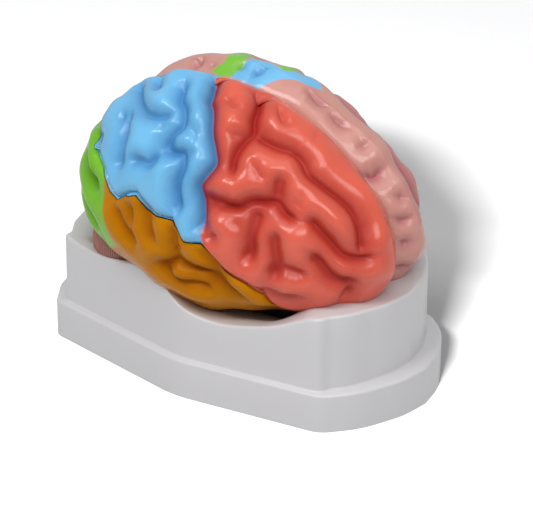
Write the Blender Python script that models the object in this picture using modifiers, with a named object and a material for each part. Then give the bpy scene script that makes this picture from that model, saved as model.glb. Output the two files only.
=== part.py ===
"""Brain anatomy model: eight painted mouldings that part at the midline and at the side seam,
pinned together and resting in the bowl of a white hollow stand."""

import math

import bmesh
import bpy
import numpy as np
from mathutils import Matrix

MM = 0.001

# Half brain, seen from the side: y runs back, z runs up, all in millimetres
HALF_WIDTH = 60.0            # midline to the widest point of one half
CREST_OFFSET = 12.0          # midline to the crest beside the long fissure
FULLNESS = 2.05              # exponent of the rounded section, 2 is an ellipse
CENTRE_Y = 2.0
CENTRE_Z = 80.0
CREST_TILT = 90.0            # degrees from the centre of the side to the crest
EDGE_TILT = 120.0            # degrees at which the crest's rounding meets the midline face
CREST_DROP = 0.8             # height of that rounding as a share of the crest's offset
TEMPORAL_BULGE = 5.0
BULGE_SPOT = (15.0, -38.0)   # degrees forward and up
BULGE_SPREAD = 26.0
SWELL = 1.0                  # rise of the folds above the smooth form
MIDLINE_GAP = 0.8            # between the flat faces of the two halves
CREST_OUTLINE = [(-88, 66), (-91, 80), (-85, 98), (-70, 116), (-47, 134), (-20, 146), (8, 149.5),
                 (36, 145), (62, 127), (76, 105), (80, 88), (76.5, 74), (63.5, 60.5), (44, 48),
                 (16, 40), (-14, 39), (-40, 44), (-64, 49), (-80, 56)]

# Seam between the upper and the lower moulding of a half, from front to back:
# (y, height at the side, height at the midline)
SEAM = [(-100, 38, 38), (-52, 44, 44), (-46, 55, 52), (-42, 64, 58), (-36, 69, 62), (-25, 73, 67),
        (-18, 80, 70), (-13, 85, 72), (-4, 84, 73), (0, 89, 74), (3, 94, 74), (12, 94, 74), (19, 96, 75),
        (25, 102, 77), (31, 100, 79), (38, 95.5, 83), (43, 98, 87), (48, 104, 94), (56, 109.5, 106),
        (60, 112, 111), (60.5, 125, 125), (61, 150, 150)]
SEAM_FLAT = 12.0             # half width of the level strip at the midline
SEAM_GAP = (0.4, 0.7)        # back and down
SEAM_TURN = 60.0             # place along the brain where the seam turns upward
SEAM_STEP = 1.6              # how far the lower moulding's skin lies inside the upper one's
SEAM_STEP_FADE = 14.0
SEAM_ROUND = 2.2             # how deep the skin rounds over at the seam
SEAM_ROUND_REACH = 2.6

# Furrows as (depth, half width, [(degrees forward, degrees up), ...]) from the centre of the side
FURROWS = {
    "central": (6.0, 7.5, [(-6, 90), (-2, 80), (0, 73), (4, 67), (7, 60), (9, 52), (12, 45), (14, 38),
                           (11, 31), (9, 26.5), (10.5, 20), (11.5, 12), (10.5, 6)]),
    "upper_precentral": (6.0, 8.0, [(27, 84), (28, 75), (28, 67), (29, 59), (26, 53), (23, 46), (22, 39),
                                    (23, 32)]),
    "upper_frontal": (5.5, 8.5, [(29, 58), (36, 54.5), (43, 52), (49, 50.5), (53.5, 45.5), (55.5, 38.5),
                                 (60.5, 34), (68, 28), (72, 22.5), (73, 15.5), (72, 9), (69.5, 3)]),
    "inner_frontal": (4.0, 6.5, [(47.5, 15.5), (51, 16.5), (53.5, 12.5), (56.5, 8.5), (59.5, 4.5),
                                 (63.5, 2.5), (70.5, 1.5), (79, 2)]),
    "lower_frontal": (6.0, 7.5, [(10, 23), (14, 21.5), (20, 20), (25, 19.5), (30, 22.5), (35, 23),
                                 (39.5, 23.5), (42, 18.5), (46, 16)]),
    "ascending": (6.0, 8.0, [(32.5, 21), (31.5, 18), (29.5, 13), (27, 8), (25.5, 3), (22, -1)]),
    "ascending_bay": (3.0, 6.0, [(23, 16.5), (23.5, 12.5), (25, 9.5)]),
    "short_upright": (4.0, 5.5, [(36, 12.5), (34.5, 6.5), (34, 1.5), (33.3, -2), (33.4, -6)]),
    "lower_hook": (4.5, 6.0, [(33.4, -6), (34.5, -3), (36.7, -1.5), (41.5, -2.7), (46.4, -3.6)]),
    "orbital": (5.5, 7.5, [(46, 5), (50, 1), (53.5, -3.5), (58, -6.5), (63.5, -8), (69, -9.5)]),
    "orbital_branch": (4.5, 6.0, [(64.5, -8.5), (65.5, -13), (64, -18)]),
    "middle": (4.0, 6.5, [(43.5, 38), (41.5, 31.5), (40.5, 27), (38.7, 23)]),
    "middle_pit": (2.5, 4.5, [(49.5, 27), (47, 23.5), (48.7, 22)]),
    "middle_slope": (2.5, 8.0, [(29.5, 42.5), (33, 36.5), (36.5, 31)]),
    "crest_crease": (2.5, 5.5, [(38, 80), (41.5, 70), (44.5, 66), (48, 67.5)]),
    "crest_dimple": (2.0, 6.0, [(59, 61.5), (63, 59.5)]),
    "precentral_top": (2.2, 6.5, [(6, 77), (14.5, 71), (20.5, 68.5)]),
    "precentral_hook": (2.5, 6.0, [(15.5, 55), (20.5, 54), (27, 57)]),
    "front_dimple": (2.5, 6.0, [(79, 19.5), (76, 14), (75.5, 8.5)]),
    "lower_edge": (3.5, 5.5, [(30.5, -9.5), (38, -13.5), (42.5, -15), (48, -13.5)]),
    "notch": (4.5, 5.0, [(11, 5), (14, 6), (17, 7.5)]),
    "upper_parietal": (5.0, 7.0, [(-22, 80), (-18, 72), (-14, 65), (-9.5, 61), (-7.5, 57), (-6.5, 51.5),
                                  (-9, 46.5), (-10.5, 41), (-12, 36)]),
    "parietal_trough": (4.5, 7.5, [(-56, 67.5), (-46, 62), (-38.5, 57), (-28.5, 51.5), (-21.5, 51.5),
                                   (-16, 54), (-13, 58)]),
    "parietal_pit": (3.0, 5.0, [(-16.5, 49.5), (-15, 45.5)]),
    "postcentral_bend": (2.0, 5.5, [(-3, 54), (2, 48.5), (1.5, 43.5)]),
    "supramarginal_back": (5.0, 6.5, [(-12, 36), (-14, 32), (-15.5, 29), (-20, 29), (-26, 28)]),
    "supramarginal": (5.5, 7.0, [(-12.5, 37.5), (-8, 38), (-4, 38), (-1, 38.5), (0.5, 33), (-0.7, 27),
                                 (-0.7, 22), (0.8, 17), (1, 12)]),
    "supramarginal_front": (2.5, 5.0, [(6, 41), (-1, 40)]),
    "angular": (4.5, 7.5, [(-40, 51), (-38, 47.5), (-34, 39.5), (-32.5, 33), (-31, 26), (-29.5, 21)]),
    "angular_pit": (3.5, 5.5, [(-46, 49), (-43.5, 47), (-39, 41.5)]),
    "top_notch": (4.0, 6.0, [(-44, 77), (-38, 71), (-30, 65)]),
    "upper_temporal": (5.0, 6.5, [(36, -24), (28, -19), (20, -13), (16.5, -10), (11.5, -11), (6.5, -12),
                                  (0.5, -11), (-7, -15.5), (-15, -18.5)]),
    "temporal_upright": (3.5, 6.0, [(-2, 9), (-0.3, 4), (-0.4, -3), (0.7, -10)]),
    "temporal_rear": (4.0, 6.0, [(-28.5, 8), (-25.5, 3), (-21, -2.5), (-22, -7)]),
    "temporal_middle": (4.0, 6.0, [(-23, 11.5), (-20.5, 7.5), (-18.5, 2)]),
    "temporal_fore": (4.0, 6.0, [(-16.5, 13.5), (-13, 9), (-10.5, 2.5), (-8, -1.5)]),
    "temporal_front": (3.5, 5.5, [(6.5, 0.5), (10.5, -1), (16, -5.5), (20, -11), (24, -17.5)]),
    "lower_temporal": (4.5, 6.0, [(-13, -17), (-8, -22), (-3, -26), (5, -27), (12, -24), (18, -22),
                                  (24, -26)]),
    "occipital_upper": (3.5, 5.5, [(-66, 22), (-56, 18), (-48, 13.5), (-41, 10)]),
    "occipital_lower": (3.5, 6.0, [(-63, 4), (-57, 0), (-51, -3), (-46, -8)]),
    "occipital_cross": (3.0, 5.0, [(-58, 34), (-53, 32), (-47, 29.5)]),
    "occipital_top": (3.0, 4.5, [(-74, 44), (-66, 40), (-60, 37)]),
    "occipital_notch": (3.0, 4.5, [(-76, 54), (-68, 49), (-61, 46)]),
    "occipital_crown": (3.0, 4.5, [(-74, 66), (-66, 60), (-59, 56)]),
}
# Soft hollows beside the long fissure on the left half
LEFT_HOLLOWS = [
    (2.2, 6.0, [(47, 95), (48, 89), (57, 86), (59.5, 77)]), (2.2, 6.0, [(66, 82), (75.5, 73), (77, 66)]),
    (2.2, 6.0, [(94, 62), (85, 55), (76, 50)]), (3.0, 7.0, [(112, 50), (107, 43), (97, 41.5), (88, 38)]),
    (2.4, 6.0, [(108, 28), (100, 23), (89, 17.5)]), (2.6, 5.0, [(117, 16), (110, 12), (96, 12)]),
    (2.6, 5.0, [(118, -0.5), (113, -2), (104, -2)]), (2.6, 5.0, [(115, -22), (106, -20), (90, -17)]),
    (2.8, 6.0, [(-50, 104), (-44.5, 99), (-39.5, 94.5), (-36, 84)]), (2.2, 5.0, [(-33.5, 109), (-29, 100)]),
    (2.5, 4.5, [(12, 92), (9, 102), (7, 114)]), (2.2, 4.5, [(-4, 98), (-7, 112)]),
]
# Furrows of the flat midline face as (depth, half width, [(y, z), ...])
MIDLINE_FURROWS = {
    "cingulate": (3.0, 6.0, [(-46, 68), (-62, 76), (-64, 92), (-50, 108), (-26, 119), (2, 123), (26, 121),
                             (36, 134)]),
    "callosal": (2.5, 6.0, [(-30, 78), (-42, 82), (-44, 94), (-32, 103), (-6, 108), (18, 106), (32, 98),
                            (34, 89)]),
    "parieto_occipital": (3.0, 6.0, [(60, 122), (52, 108), (44, 98)]),
}
FURROW_BED = 0.9             # radius of the rounded bed of a furrow
LEFT_REACH = 78.0            # the left half's outer furrows stop this many degrees from the side's centre
FURROW_ENDS = 5.0            # length over which a furrow runs out at its ends
FURROW_END_SHARE = 0.25      # share of its depth left at the very end
FURROW_LIMIT = 7.0           # no crossing of furrows is deeper than this
FURROW_MOST = 0.93           # share of that limit one furrow may take
LEFT_WARP = 3.0              # degrees by which the left half's furrows wander from the right's

# Stand
STAND_HALF_WIDTH = 56.8
STAND_HALF_LENGTH = 103.5
PLINTH_HEIGHT = 19.3
# Corners of the plan as (share of the half width, distance from the nearer end, rounding)
FRONT_CORNERS = [(0.3, 2.6, 50), (0.7, 13.0, 50), (0.947, 27.5, 14)]
BACK_CORNERS = [(0.55, 13.0, 9), (0.24, 3.6, 30)]
WIDEST_CORNER = (4.0, 60)    # place along the stand and rounding
SIDE_LEDGE = 3.3
END_LEDGE = 9.2
WALL = 2.6
BOWL_FLOOR = 20.0
EDGE_ROUND = 1.4
RIM_HEIGHT = [(-94, 56.5), (-72, 57), (-62, 53.5), (-50, 48.5), (-37, 45), (-21, 42.5), (-8, 43.3),
              (3, 46.5), (12, 52), (20, 57), (30, 58.5), (45, 55), (60, 52.5), (75, 53), (95, 56)]
SEAT_LEVEL = 37.6            # height at which the bowl carries the temporal lobes
# Bowl from the rim inwards: (distance in, share of the rim, share of the seat, share of the floor)
FRONT_SLOPE = 3.0            # how much more gently the bowl falls at the front
FRONT_SLOPE_PLACES = (45, 75)
FRONT_SLOPE_HOLD = 12        # distance in from which the front falls back to the floor
BOWL_SEAT = 18
BOWL = [(EDGE_ROUND, 1, 0, 0), (3, 0.78, 0.22, 0), (7, 0.42, 0.58, 0), (12, 0.1, 0.9, 0),
        (BOWL_SEAT, 0, 1, 0), (24, 0, 0.75, 0.25), (31, 0, 0.2, 0.8), (38, 0, 0, 1)]
SEAT_GAP = 0.35              # brain mouldings above the bowl
SPOKES = 48

# Cerebellum, brain stem and pins
CEREBELLUM_CENTRE = (18.5, 46.0, 57.0)
CEREBELLUM_RADII = (19.5, 27.0, 24.0)
CEREBELLUM_GAP = 0.8
FOLIA = 11
LEAF_HEIGHT = 0.6
FISSURE_DEPTH = 2.0
FISSURE_ANGLE = 103.0        # degrees down from the top
FISSURE_SPREAD = 3.4
STEM_SECTIONS = [(20.6, 31, 6.5, 6.0), (27, 30, 8, 7.0), (34, 28, 9.5, 8.5), (40, 22, 14, 11.5),
                 (48, 17, 16, 14.0), (56, 15, 15.5, 13.5), (62, 14, 13, 10.5), (71.5, 13, 12.5, 10.0)]
STEM_CLEARANCE = 0.8
PIN_RADIUS = 2.0
PIN_CLEARANCE = 0.35
LOBE_PIN_LENGTH = 18.0
PIN_END_GAP = 0.5
LOBE_PINS = {"front": (38.0, -22.0), "rear": (36.0, 32.0)}
MID_PIN_LENGTH = 14.0
MIDLINE_PINS = {"brainstem": (16.0, 50.0), "cerebellum": (54.0, 52.0),
                "temporal_occipital": (72.0, 92.0)}
CUTTER_REACH = 30.0          # how far a cutter goes past what it cuts

# Grid of a half before thinning, and facets after it
SIDE_RINGS, CREST_RINGS, FACE_RINGS, HALF_SPOKES = 58, 12, 26, 220
HALF_FACETS = 2975
LOBE_RINGS, LOBE_SPOKES = 40, 120
CEREBELLUM_FACETS = 620

COLOURS = {
    "coral": ((0.80, 0.13, 0.09), 0.28), "blue": ((0.22, 0.50, 0.74), 0.35),
    "ochre": ((0.66, 0.30, 0.01), 0.3), "beige": ((0.66, 0.36, 0.31), 0.35),
    "brown": ((0.30, 0.12, 0.10), 0.5), "ivory": ((0.75, 0.66, 0.5), 0.4),
    "white": ((0.80, 0.80, 0.82), 0.3), "steel": ((0.6, 0.6, 0.62), 0.3),
}


def smooth_through(points, steps):
    """A rounded line through a few hand-set points."""
    p = np.array(points, float)
    p = np.vstack([2 * p[0] - p[1], p, 2 * p[-1] - p[-2]])
    out = []
    for a, b, c, d in zip(p[:-3], p[1:-2], p[2:-1], p[3:]):
        for t in np.arange(steps) / steps:
            out.append(0.5 * (2 * b + (c - a) * t + (2 * a - 5 * b + 4 * c - d) * t ** 2
                              + (3 * b - a - 3 * c + d) * t ** 3))
    return np.array(out + [p[-2]])


def crest_radius(angle):
    """Distance from the centre of the side to the crest outline, for angles in degrees."""
    y, z = np.array(CREST_OUTLINE, float).T
    at = np.degrees(np.arctan2(z - CENTRE_Z, CENTRE_Y - y)) % 360
    order = np.argsort(at)
    at, far = at[order], np.hypot(y - CENTRE_Y, z - CENTRE_Z)[order]
    at = np.concatenate([at[-2:] - 360, at, at[:2] + 360])
    far = np.concatenate([far[-2:], far, far[:2]])
    angle = np.mod(angle, 360.0)
    i = np.clip(np.searchsorted(at, angle, side="right") - 1, 1, len(at) - 3)
    span = at[i + 1] - at[i]
    t = (angle - at[i]) / span
    rise = (far[i + 1] - far[i - 1]) / (at[i + 1] - at[i - 1]) * span
    fall = (far[i + 2] - far[i]) / (at[i + 2] - at[i]) * span
    return ((2 * t ** 3 - 3 * t ** 2 + 1) * far[i] + (t ** 3 - 2 * t ** 2 + t) * rise
            + (3 * t ** 2 - 2 * t ** 3) * far[i + 1] + (t ** 3 - t ** 2) * fall)


def half_surface(tilt, angle):
    """Point of the smooth half brain, tilt in degrees from the side's centre (90 is the crest)."""
    turn = np.radians(np.minimum(tilt, CREST_TILT))
    power = 2.0 / FULLNESS
    forward, up = tilt * np.cos(np.radians(angle)), tilt * np.sin(np.radians(angle))
    off_spot = (forward - BULGE_SPOT[0]) ** 2 + (up - BULGE_SPOT[1]) ** 2
    bulge = TEMPORAL_BULGE * np.exp(-off_spot / BULGE_SPREAD ** 2)
    side = CREST_OFFSET + (HALF_WIDTH - CREST_OFFSET) * np.maximum(np.cos(turn), 1e-9) ** power + bulge
    past = np.clip((tilt - CREST_TILT) / (EDGE_TILT - CREST_TILT), 0.0, 1.0)
    over = CREST_OFFSET * np.cos(past * math.pi / 2) + MIDLINE_GAP / 2
    crest = crest_radius(angle)
    reach = np.where(tilt > CREST_TILT, crest - CREST_DROP * CREST_OFFSET * (1 - np.sqrt(1 - past ** 2)),
                     crest * np.sin(turn) ** power)
    x = np.where(tilt > CREST_TILT, over, np.maximum(side, MIDLINE_GAP / 2))
    return np.stack([x, CENTRE_Y - reach * np.cos(np.radians(angle)),
                     CENTRE_Z + reach * np.sin(np.radians(angle))], -1)


def on_side(points):
    """Lay (degrees forward, degrees up) points on the smooth half brain."""
    forward, up = np.array(points, float).T
    return half_surface(np.hypot(forward, up), np.degrees(np.arctan2(up, forward)))


def furrow_depth(verts, line, depth, half_width):
    """How deep a furrow along a line is at each vertex: a narrow bed between rounded shoulders."""
    steps = np.linalg.norm(np.diff(line, axis=0), axis=1)
    along = np.concatenate([[0], np.cumsum(steps)])
    low, high = line.min(0) - 2 * half_width, line.max(0) + 2 * half_width
    pick = np.nonzero(np.all((verts > low) & (verts < high), axis=1))[0]
    v = verts[pick]
    best, where = np.full(len(v), 1e9), np.zeros(len(v))
    for a, b, start, size in zip(line[:-1], line[1:], along[:-1], steps):
        t = np.clip((v - a) @ (b - a) / max(size ** 2, 1e-9), 0, 1)
        d = np.linalg.norm(v - a - t[:, None] * (b - a), axis=1)
        closer = d < best
        best = np.where(closer, d, best)
        where = np.where(closer, start + t * size, where)
    ends = np.minimum(where, along[-1] - where) / FURROW_ENDS
    run_out = np.clip(FURROW_END_SHARE + (1 - FURROW_END_SHARE) * ends, FURROW_END_SHARE, 1)
    off = np.clip((np.hypot(best, FURROW_BED) - FURROW_BED) / half_width, 0, 1)
    out = np.zeros(len(verts))
    out[pick] = depth * run_out * (1 - np.sqrt(1 - (1 - off) ** 2))
    return out


def seam_height(y, out=HALF_WIDTH):
    """Height of the seam at a place along the brain and a distance out from the midline."""
    rows = np.array([row for row in SEAM if row[0] <= SEAM_TURN], float)
    side = np.interp(y, rows[:, 0], rows[:, 1])
    middle = np.interp(y, rows[:, 0], rows[:, 2])
    return middle + (side - middle) * (out - SEAM_FLAT) / (HALF_WIDTH - SEAM_FLAT)


def furrow_lines(side):
    """Every furrow of one half as (depth, half width, line in millimetres on the +X side)."""
    lines = []
    for depth, half_width, points in FURROWS.values():
        p = smooth_through(points, 4)
        if side > 0:
            p = p + LEFT_WARP * np.stack([np.sin(p[:, 1] / 17 + 1), np.sin(p[:, 0] / 19)], -1)
            p = p[np.hypot(p[:, 0], p[:, 1]) < LEFT_REACH]
        if len(p) > 1:
            lines.append((depth, half_width, on_side(p)))
    for depth, half_width, points in LEFT_HOLLOWS if side > 0 else []:
        lines.append((depth, half_width, on_side(smooth_through(points, 4))))
    for depth, half_width, points in MIDLINE_FURROWS.values():
        p = smooth_through(points, 4)
        lines.append((depth, half_width, np.column_stack([np.full(len(p), MIDLINE_GAP / 2), p])))
    return lines


def rim_height(y):
    line = smooth_through(RIM_HEIGHT, 6)
    return np.interp(y, line[:, 0], line[:, 1])


def stand_outline():
    """Plan of the plinth as a closed line from the front middle, and how far along each point lies."""
    width, length = STAND_HALF_WIDTH, STAND_HALF_LENGTH
    corners = [(-share * width, back - length, rounding) for share, back, rounding in FRONT_CORNERS]
    corners += [(-width, *WIDEST_CORNER)]
    corners += [(-share * width, length - back, rounding) for share, back, rounding in BACK_CORNERS]
    points = [np.array(c[:2]) for c in [(0.0, -length), *corners, (0.0, length)]]
    out = [points[0]]
    for before, here, after, (_, _, radius) in zip(points[:-2], points[1:-1], points[2:], corners):
        a, b = before - here, after - here
        half = min(np.linalg.norm(a), np.linalg.norm(b)) * 0.48
        corner = math.acos(np.clip(a @ b / np.linalg.norm(a) / np.linalg.norm(b), -1, 1))
        back = min(radius / math.tan(corner / 2), half)
        start, end = here + a / np.linalg.norm(a) * back, here + b / np.linalg.norm(b) * back
        for t in (0, 0.25, 0.5, 0.75, 1):
            out.append((1 - t) ** 2 * start + 2 * t * (1 - t) * here + t * t * end)
    half = np.array(out + [points[-1]])
    loop = np.vstack([half, half[-2:0:-1] * (-1, 1), half[:1]])
    along = np.concatenate([[0], np.cumsum(np.linalg.norm(np.diff(loop, axis=0), axis=1))])
    return loop, along


def plan_ring(inset_side, inset_end):
    """The stand's plan set in by one distance at its sides and another at its ends."""
    loop, along = stand_outline()
    at = np.arange(SPOKES) / SPOKES * along[-1]
    ring = np.stack([np.interp(at, along, loop[:, k]) for k in range(2)], -1)
    run = np.roll(ring, -1, 0) - np.roll(ring, 1, 0)
    normal = np.stack([run[:, 1], -run[:, 0]], -1) / np.linalg.norm(run, axis=1)[:, None]
    if (ring * normal).sum() < 0:
        normal = -normal
    inset = inset_side + (inset_end - inset_side) * normal[:, 1:] ** 2
    return ring - inset * normal


def bowl_rings(rise):
    """Rings of the bowl from the rim's inner edge to the floor, raised by a distance."""
    wall = plan_ring(SIDE_LEDGE, END_LEDGE)
    rim = rim_height(wall[:, 1])
    seat = np.minimum(SEAT_LEVEL, rim)
    front = np.interp(-wall[:, 1], FRONT_SLOPE_PLACES, (0, 1))
    depths, of_rim, of_seat, of_floor = np.array(BOWL, float).T
    rings = []
    for depth in depths:
        inset = min(depth, BOWL_SEAT)
        ring = plan_ring(SIDE_LEDGE + inset, END_LEDGE + inset)
        ring = ring * (1 - (depth - inset) / (STAND_HALF_WIDTH - BOWL_SEAT))
        late = np.clip((depth - FRONT_SLOPE_HOLD) / (depths[-1] - FRONT_SLOPE_HOLD), 0, 1)
        held = front * (1 - 1 / FRONT_SLOPE) * (1 - late * late * (3 - 2 * late))
        at = depth * (1 - held)
        height = np.interp(at, depths, of_rim) * rim + np.interp(at, depths, of_seat) * seat
        height = height + np.interp(at, depths, of_floor) * BOWL_FLOOR
        rings.append(np.column_stack([ring, height + rise]))
    return rings


def new_object(name, verts, faces, colour):
    mesh = bpy.data.meshes.new(name)
    mesh.from_pydata([tuple(v) for v in np.asarray(verts) * MM], [], faces)
    mesh.update()
    return place(name, mesh, colour)


def material(name):
    found = bpy.data.materials.get(name)
    if found:
        return found
    colour, rough = COLOURS[name]
    made = bpy.data.materials.new(name)
    made.use_nodes = True
    shader = made.node_tree.nodes["Principled BSDF"]
    shader.inputs["Base Color"].default_value = (*colour, 1)
    shader.inputs["Roughness"].default_value = rough
    shader.inputs["Metallic"].default_value = 1.0 if name == "steel" else 0.0
    return made


def ring_faces(rings, count, closed_start=True, closed_end=True):
    """Quads between rings of equal count, with a fan or a cap at either end."""
    faces = []
    for r in range(rings - 1):
        for s in range(count):
            a, b = r * count + s, r * count + (s + 1) % count
            faces.append((a, b, b + count, a + count))
    if closed_start:
        faces.append(tuple(range(count))[::-1])
    if closed_end:
        faces.append(tuple((rings - 1) * count + s for s in range(count)))
    return faces


def face_outward(obj):
    """Turn a mesh's faces outward and split its twisted quads into flat triangles."""
    bm = bmesh.new()
    bm.from_mesh(obj.data)
    bmesh.ops.remove_doubles(bm, verts=bm.verts, dist=0.00001)
    bmesh.ops.recalc_face_normals(bm, faces=bm.faces)
    bmesh.ops.triangulate(bm, faces=bm.faces, quad_method="FIXED", ngon_method="EAR_CLIP")
    bm.to_mesh(obj.data)
    bm.free()


def cut(obj, cutter, operation="DIFFERENCE"):
    mod = obj.modifiers.new(operation.lower() + "_" + cutter.name, "BOOLEAN")
    mod.object = cutter
    mod.operation = operation
    mod.solver = "MANIFOLD"


def thin_out(obj, facets):
    """Thin a fine mesh to a number of facets, keeping its folds."""
    mod = obj.modifiers.new("thin", "DECIMATE")
    mod.ratio = facets / sum(len(p.vertices) - 2 for p in obj.data.polygons)


def sculpted_half(name, side, colour):
    """One closed half brain with its furrows; side is -1 for the right and 1 for the left."""
    tilts = np.concatenate([np.linspace(0.6, CREST_TILT - 2, SIDE_RINGS),
                            np.linspace(CREST_TILT, EDGE_TILT, CREST_RINGS)])
    angles = np.arange(HALF_SPOKES) * 360.0 / HALF_SPOKES
    tilt, angle = np.meshgrid(tilts, angles, indexing="ij")
    outer = half_surface(tilt, angle)
    middle = np.array((MIDLINE_GAP / 2, CENTRE_Y, CENTRE_Z))
    inner = [middle + (outer[-1] - middle) * share for share in np.linspace(0.96, 0.02, FACE_RINGS)]
    rings = np.concatenate([outer, np.array(inner)])
    verts = rings.reshape(-1, 3)
    obj = new_object(name, verts * (side, 1, 1), ring_faces(len(rings), len(angles)), colour)
    face_outward(obj)
    base = np.empty(len(obj.data.vertices) * 3, np.float32)
    obj.data.vertices.foreach_get("co", base)
    base = base.reshape(-1, 3).astype(float) / MM
    normals = np.array([tuple(n.vector) for n in obj.data.vertex_normals])
    plain = base * (side, 1, 1)
    left_over = np.ones(len(base))
    for depth, half_width, line in furrow_lines(side):
        share = furrow_depth(plain, line, depth, half_width) / FURROW_LIMIT
        left_over *= 1 - np.minimum(share, FURROW_MOST)
    sunk = FURROW_LIMIT * (1 - left_over)
    above = base[:, 2] - seam_height(base[:, 1])
    on_skin = (plain[:, 0] > CREST_OFFSET) & (base[:, 1] < SEAM_TURN - 2)
    lip = SEAM_ROUND * np.exp(-(np.abs(above) / SEAM_ROUND_REACH) ** 1.3)
    step = np.where(above < 0, SEAM_STEP * np.exp(np.minimum(above, 0) / SEAM_STEP_FADE), 0)
    sunk = np.where(on_skin, sunk + lip + step, sunk)
    swell = SWELL * np.clip((plain[:, 0] - MIDLINE_GAP / 2) / CREST_OFFSET, 0, 1)
    moved = base - normals * (sunk - swell)[:, None]
    moved[:, 0] = side * np.maximum(moved[:, 0] * side, MIDLINE_GAP / 2)
    obj.data.vertices.foreach_set("co", (moved * MM).astype(np.float32).ravel())
    thin_out(obj, HALF_FACETS)
    return obj


def seam_cutter(name, gap):
    """Everything under the seam, moved down and back by a gap."""
    rows = []
    far, back = HALF_WIDTH + CUTTER_REACH, STAND_HALF_LENGTH + CUTTER_REACH
    for x in (-far, -HALF_WIDTH, -SEAM_FLAT, SEAM_FLAT, HALF_WIDTH, far):
        row = [(y, middle if abs(x) == SEAM_FLAT else side) for y, side, middle in SEAM]
        row += [(back, row[-1][1]), (back, -CUTTER_REACH), (row[0][0], -CUTTER_REACH)]
        rows += [(x, y + gap[0], z - gap[1]) for y, z in row]
    obj = new_object(name, rows, ring_faces(6, len(SEAM) + 3), None)
    face_outward(obj)
    return obj


def stand_room(name):
    """The space the stand takes, with its clearance, for trimming what rests in the bowl."""
    out = plan_ring(SIDE_LEDGE - SEAT_GAP, END_LEDGE - SEAT_GAP)
    wall = plan_ring(SIDE_LEDGE, END_LEDGE)
    rim = rim_height(wall[:, 1]) + SEAT_GAP
    rings = [np.column_stack([out, np.full(SPOKES, -CUTTER_REACH)]), np.column_stack([out, rim])]
    rings += bowl_rings(SEAT_GAP)
    obj = new_object(name, np.vstack(rings), ring_faces(len(rings), SPOKES), None)
    face_outward(obj)
    return obj


def ellipsoid(name, centre, radii, segments, rings):
    """A ball stretched along the axes, as a cutter."""
    bm = bmesh.new()
    bmesh.ops.create_uvsphere(bm, u_segments=segments, v_segments=rings, radius=1.0)
    for v in bm.verts:
        v.co = [(c + r * k) * MM for c, r, k in zip(centre, radii, v.co)]
    mesh = bpy.data.meshes.new(name)
    bm.to_mesh(mesh)
    bm.free()
    return place(name, mesh, None)


def cerebellum_half(name, side):
    """A rounded lobe with leaf-like folds running over it from top to bottom, cut at the midline."""
    polar = np.radians(np.linspace(1, 179, LOBE_RINGS))
    around = np.radians(np.arange(LOBE_SPOKES) * 360.0 / LOBE_SPOKES)
    p, a = np.meshgrid(polar, around, indexing="ij")
    fold = LEAF_HEIGHT * np.abs(np.sin(a * FOLIA)) ** 0.6 * np.sin(p)
    fissure = FISSURE_DEPTH * np.exp(-((np.degrees(p) - FISSURE_ANGLE) / FISSURE_SPREAD) ** 2)
    unit = np.stack([np.sin(p) * np.cos(a), np.sin(p) * np.sin(a), np.cos(p)], -1)
    shrink = (LEAF_HEIGHT * np.sin(p) - fold + fissure)[..., None]
    verts = np.array(CEREBELLUM_CENTRE) + unit * (np.array(CEREBELLUM_RADII) - shrink)
    verts = verts.reshape(-1, 3) * (side, 1, 1)
    obj = new_object(name, verts, ring_faces(LOBE_RINGS, LOBE_SPOKES), "brown")
    face_outward(obj)
    thin_out(obj, CEREBELLUM_FACETS)
    return obj


def half_space(name, side):
    """A block that reaches from just beside the midline past the widest point of one half."""
    bm = bmesh.new()
    bmesh.ops.create_cube(bm, size=1.0)
    inner, outer = MIDLINE_GAP / 2, HALF_WIDTH + CUTTER_REACH
    for v in bm.verts:
        v.co.x = side * ((inner + outer) / 2 + v.co.x * (outer - inner)) * MM
        v.co.y *= 3 * STAND_HALF_LENGTH * MM
        v.co.z *= 6 * CENTRE_Z * MM
    mesh = bpy.data.meshes.new(name)
    bm.to_mesh(mesh)
    bm.free()
    obj = place(name, mesh, None)
    face_outward(obj)
    return obj


def place(name, mesh, colour):
    """Put a mesh in the model, or among the cutters if it has no colour."""
    obj = bpy.data.objects.new(name, mesh)
    if colour:
        PARTS.objects.link(obj)
        mesh.materials.append(material(colour))
    else:
        CUTTERS.objects.link(obj)
        obj.hide_render = True
        obj.display_type = "WIRE"
    return obj


def stem_half(name, side, grow, colour):
    """Half of the brain stem, lofted from the cord end up; grown, it is a cutter open at its ends."""
    turn = np.radians(np.linspace(-90, 90, 11))
    rings = []
    for z, y, width, depth in STEM_SECTIONS:
        x = MIDLINE_GAP / 2 + (width + grow) * np.cos(turn)
        back = y + (depth + grow) * np.sin(turn)
        if grow:
            x = np.concatenate([[-CUTTER_REACH], x, [-CUTTER_REACH]])
            back = np.concatenate([back[:1], back, back[-1:]])
        rings.append(np.stack([side * x, back, np.full(len(x), z)], -1))
    if grow:
        rings[0][:, 2] -= CUTTER_REACH
        rings[-1][:, 2] += CUTTER_REACH
    verts = np.array(rings)
    obj = new_object(name, verts.reshape(-1, 3), ring_faces(len(rings), verts.shape[1]), colour)
    face_outward(obj)
    return obj


def round_bar(name, spot, length, radius, axis, colour):
    """A round bar centred on a spot, along Z or along X."""
    bm = bmesh.new()
    bmesh.ops.create_cone(bm, cap_ends=True, segments=14, radius1=radius * MM, radius2=radius * MM,
                          depth=length * MM)
    if axis == "X":
        bmesh.ops.rotate(bm, verts=bm.verts, matrix=Matrix.Rotation(math.pi / 2, 3, "Y"))
    mesh = bpy.data.meshes.new(name)
    bm.to_mesh(mesh)
    bm.free()
    obj = place(name, mesh, colour)
    obj.location = [k * MM for k in spot]
    return obj


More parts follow.
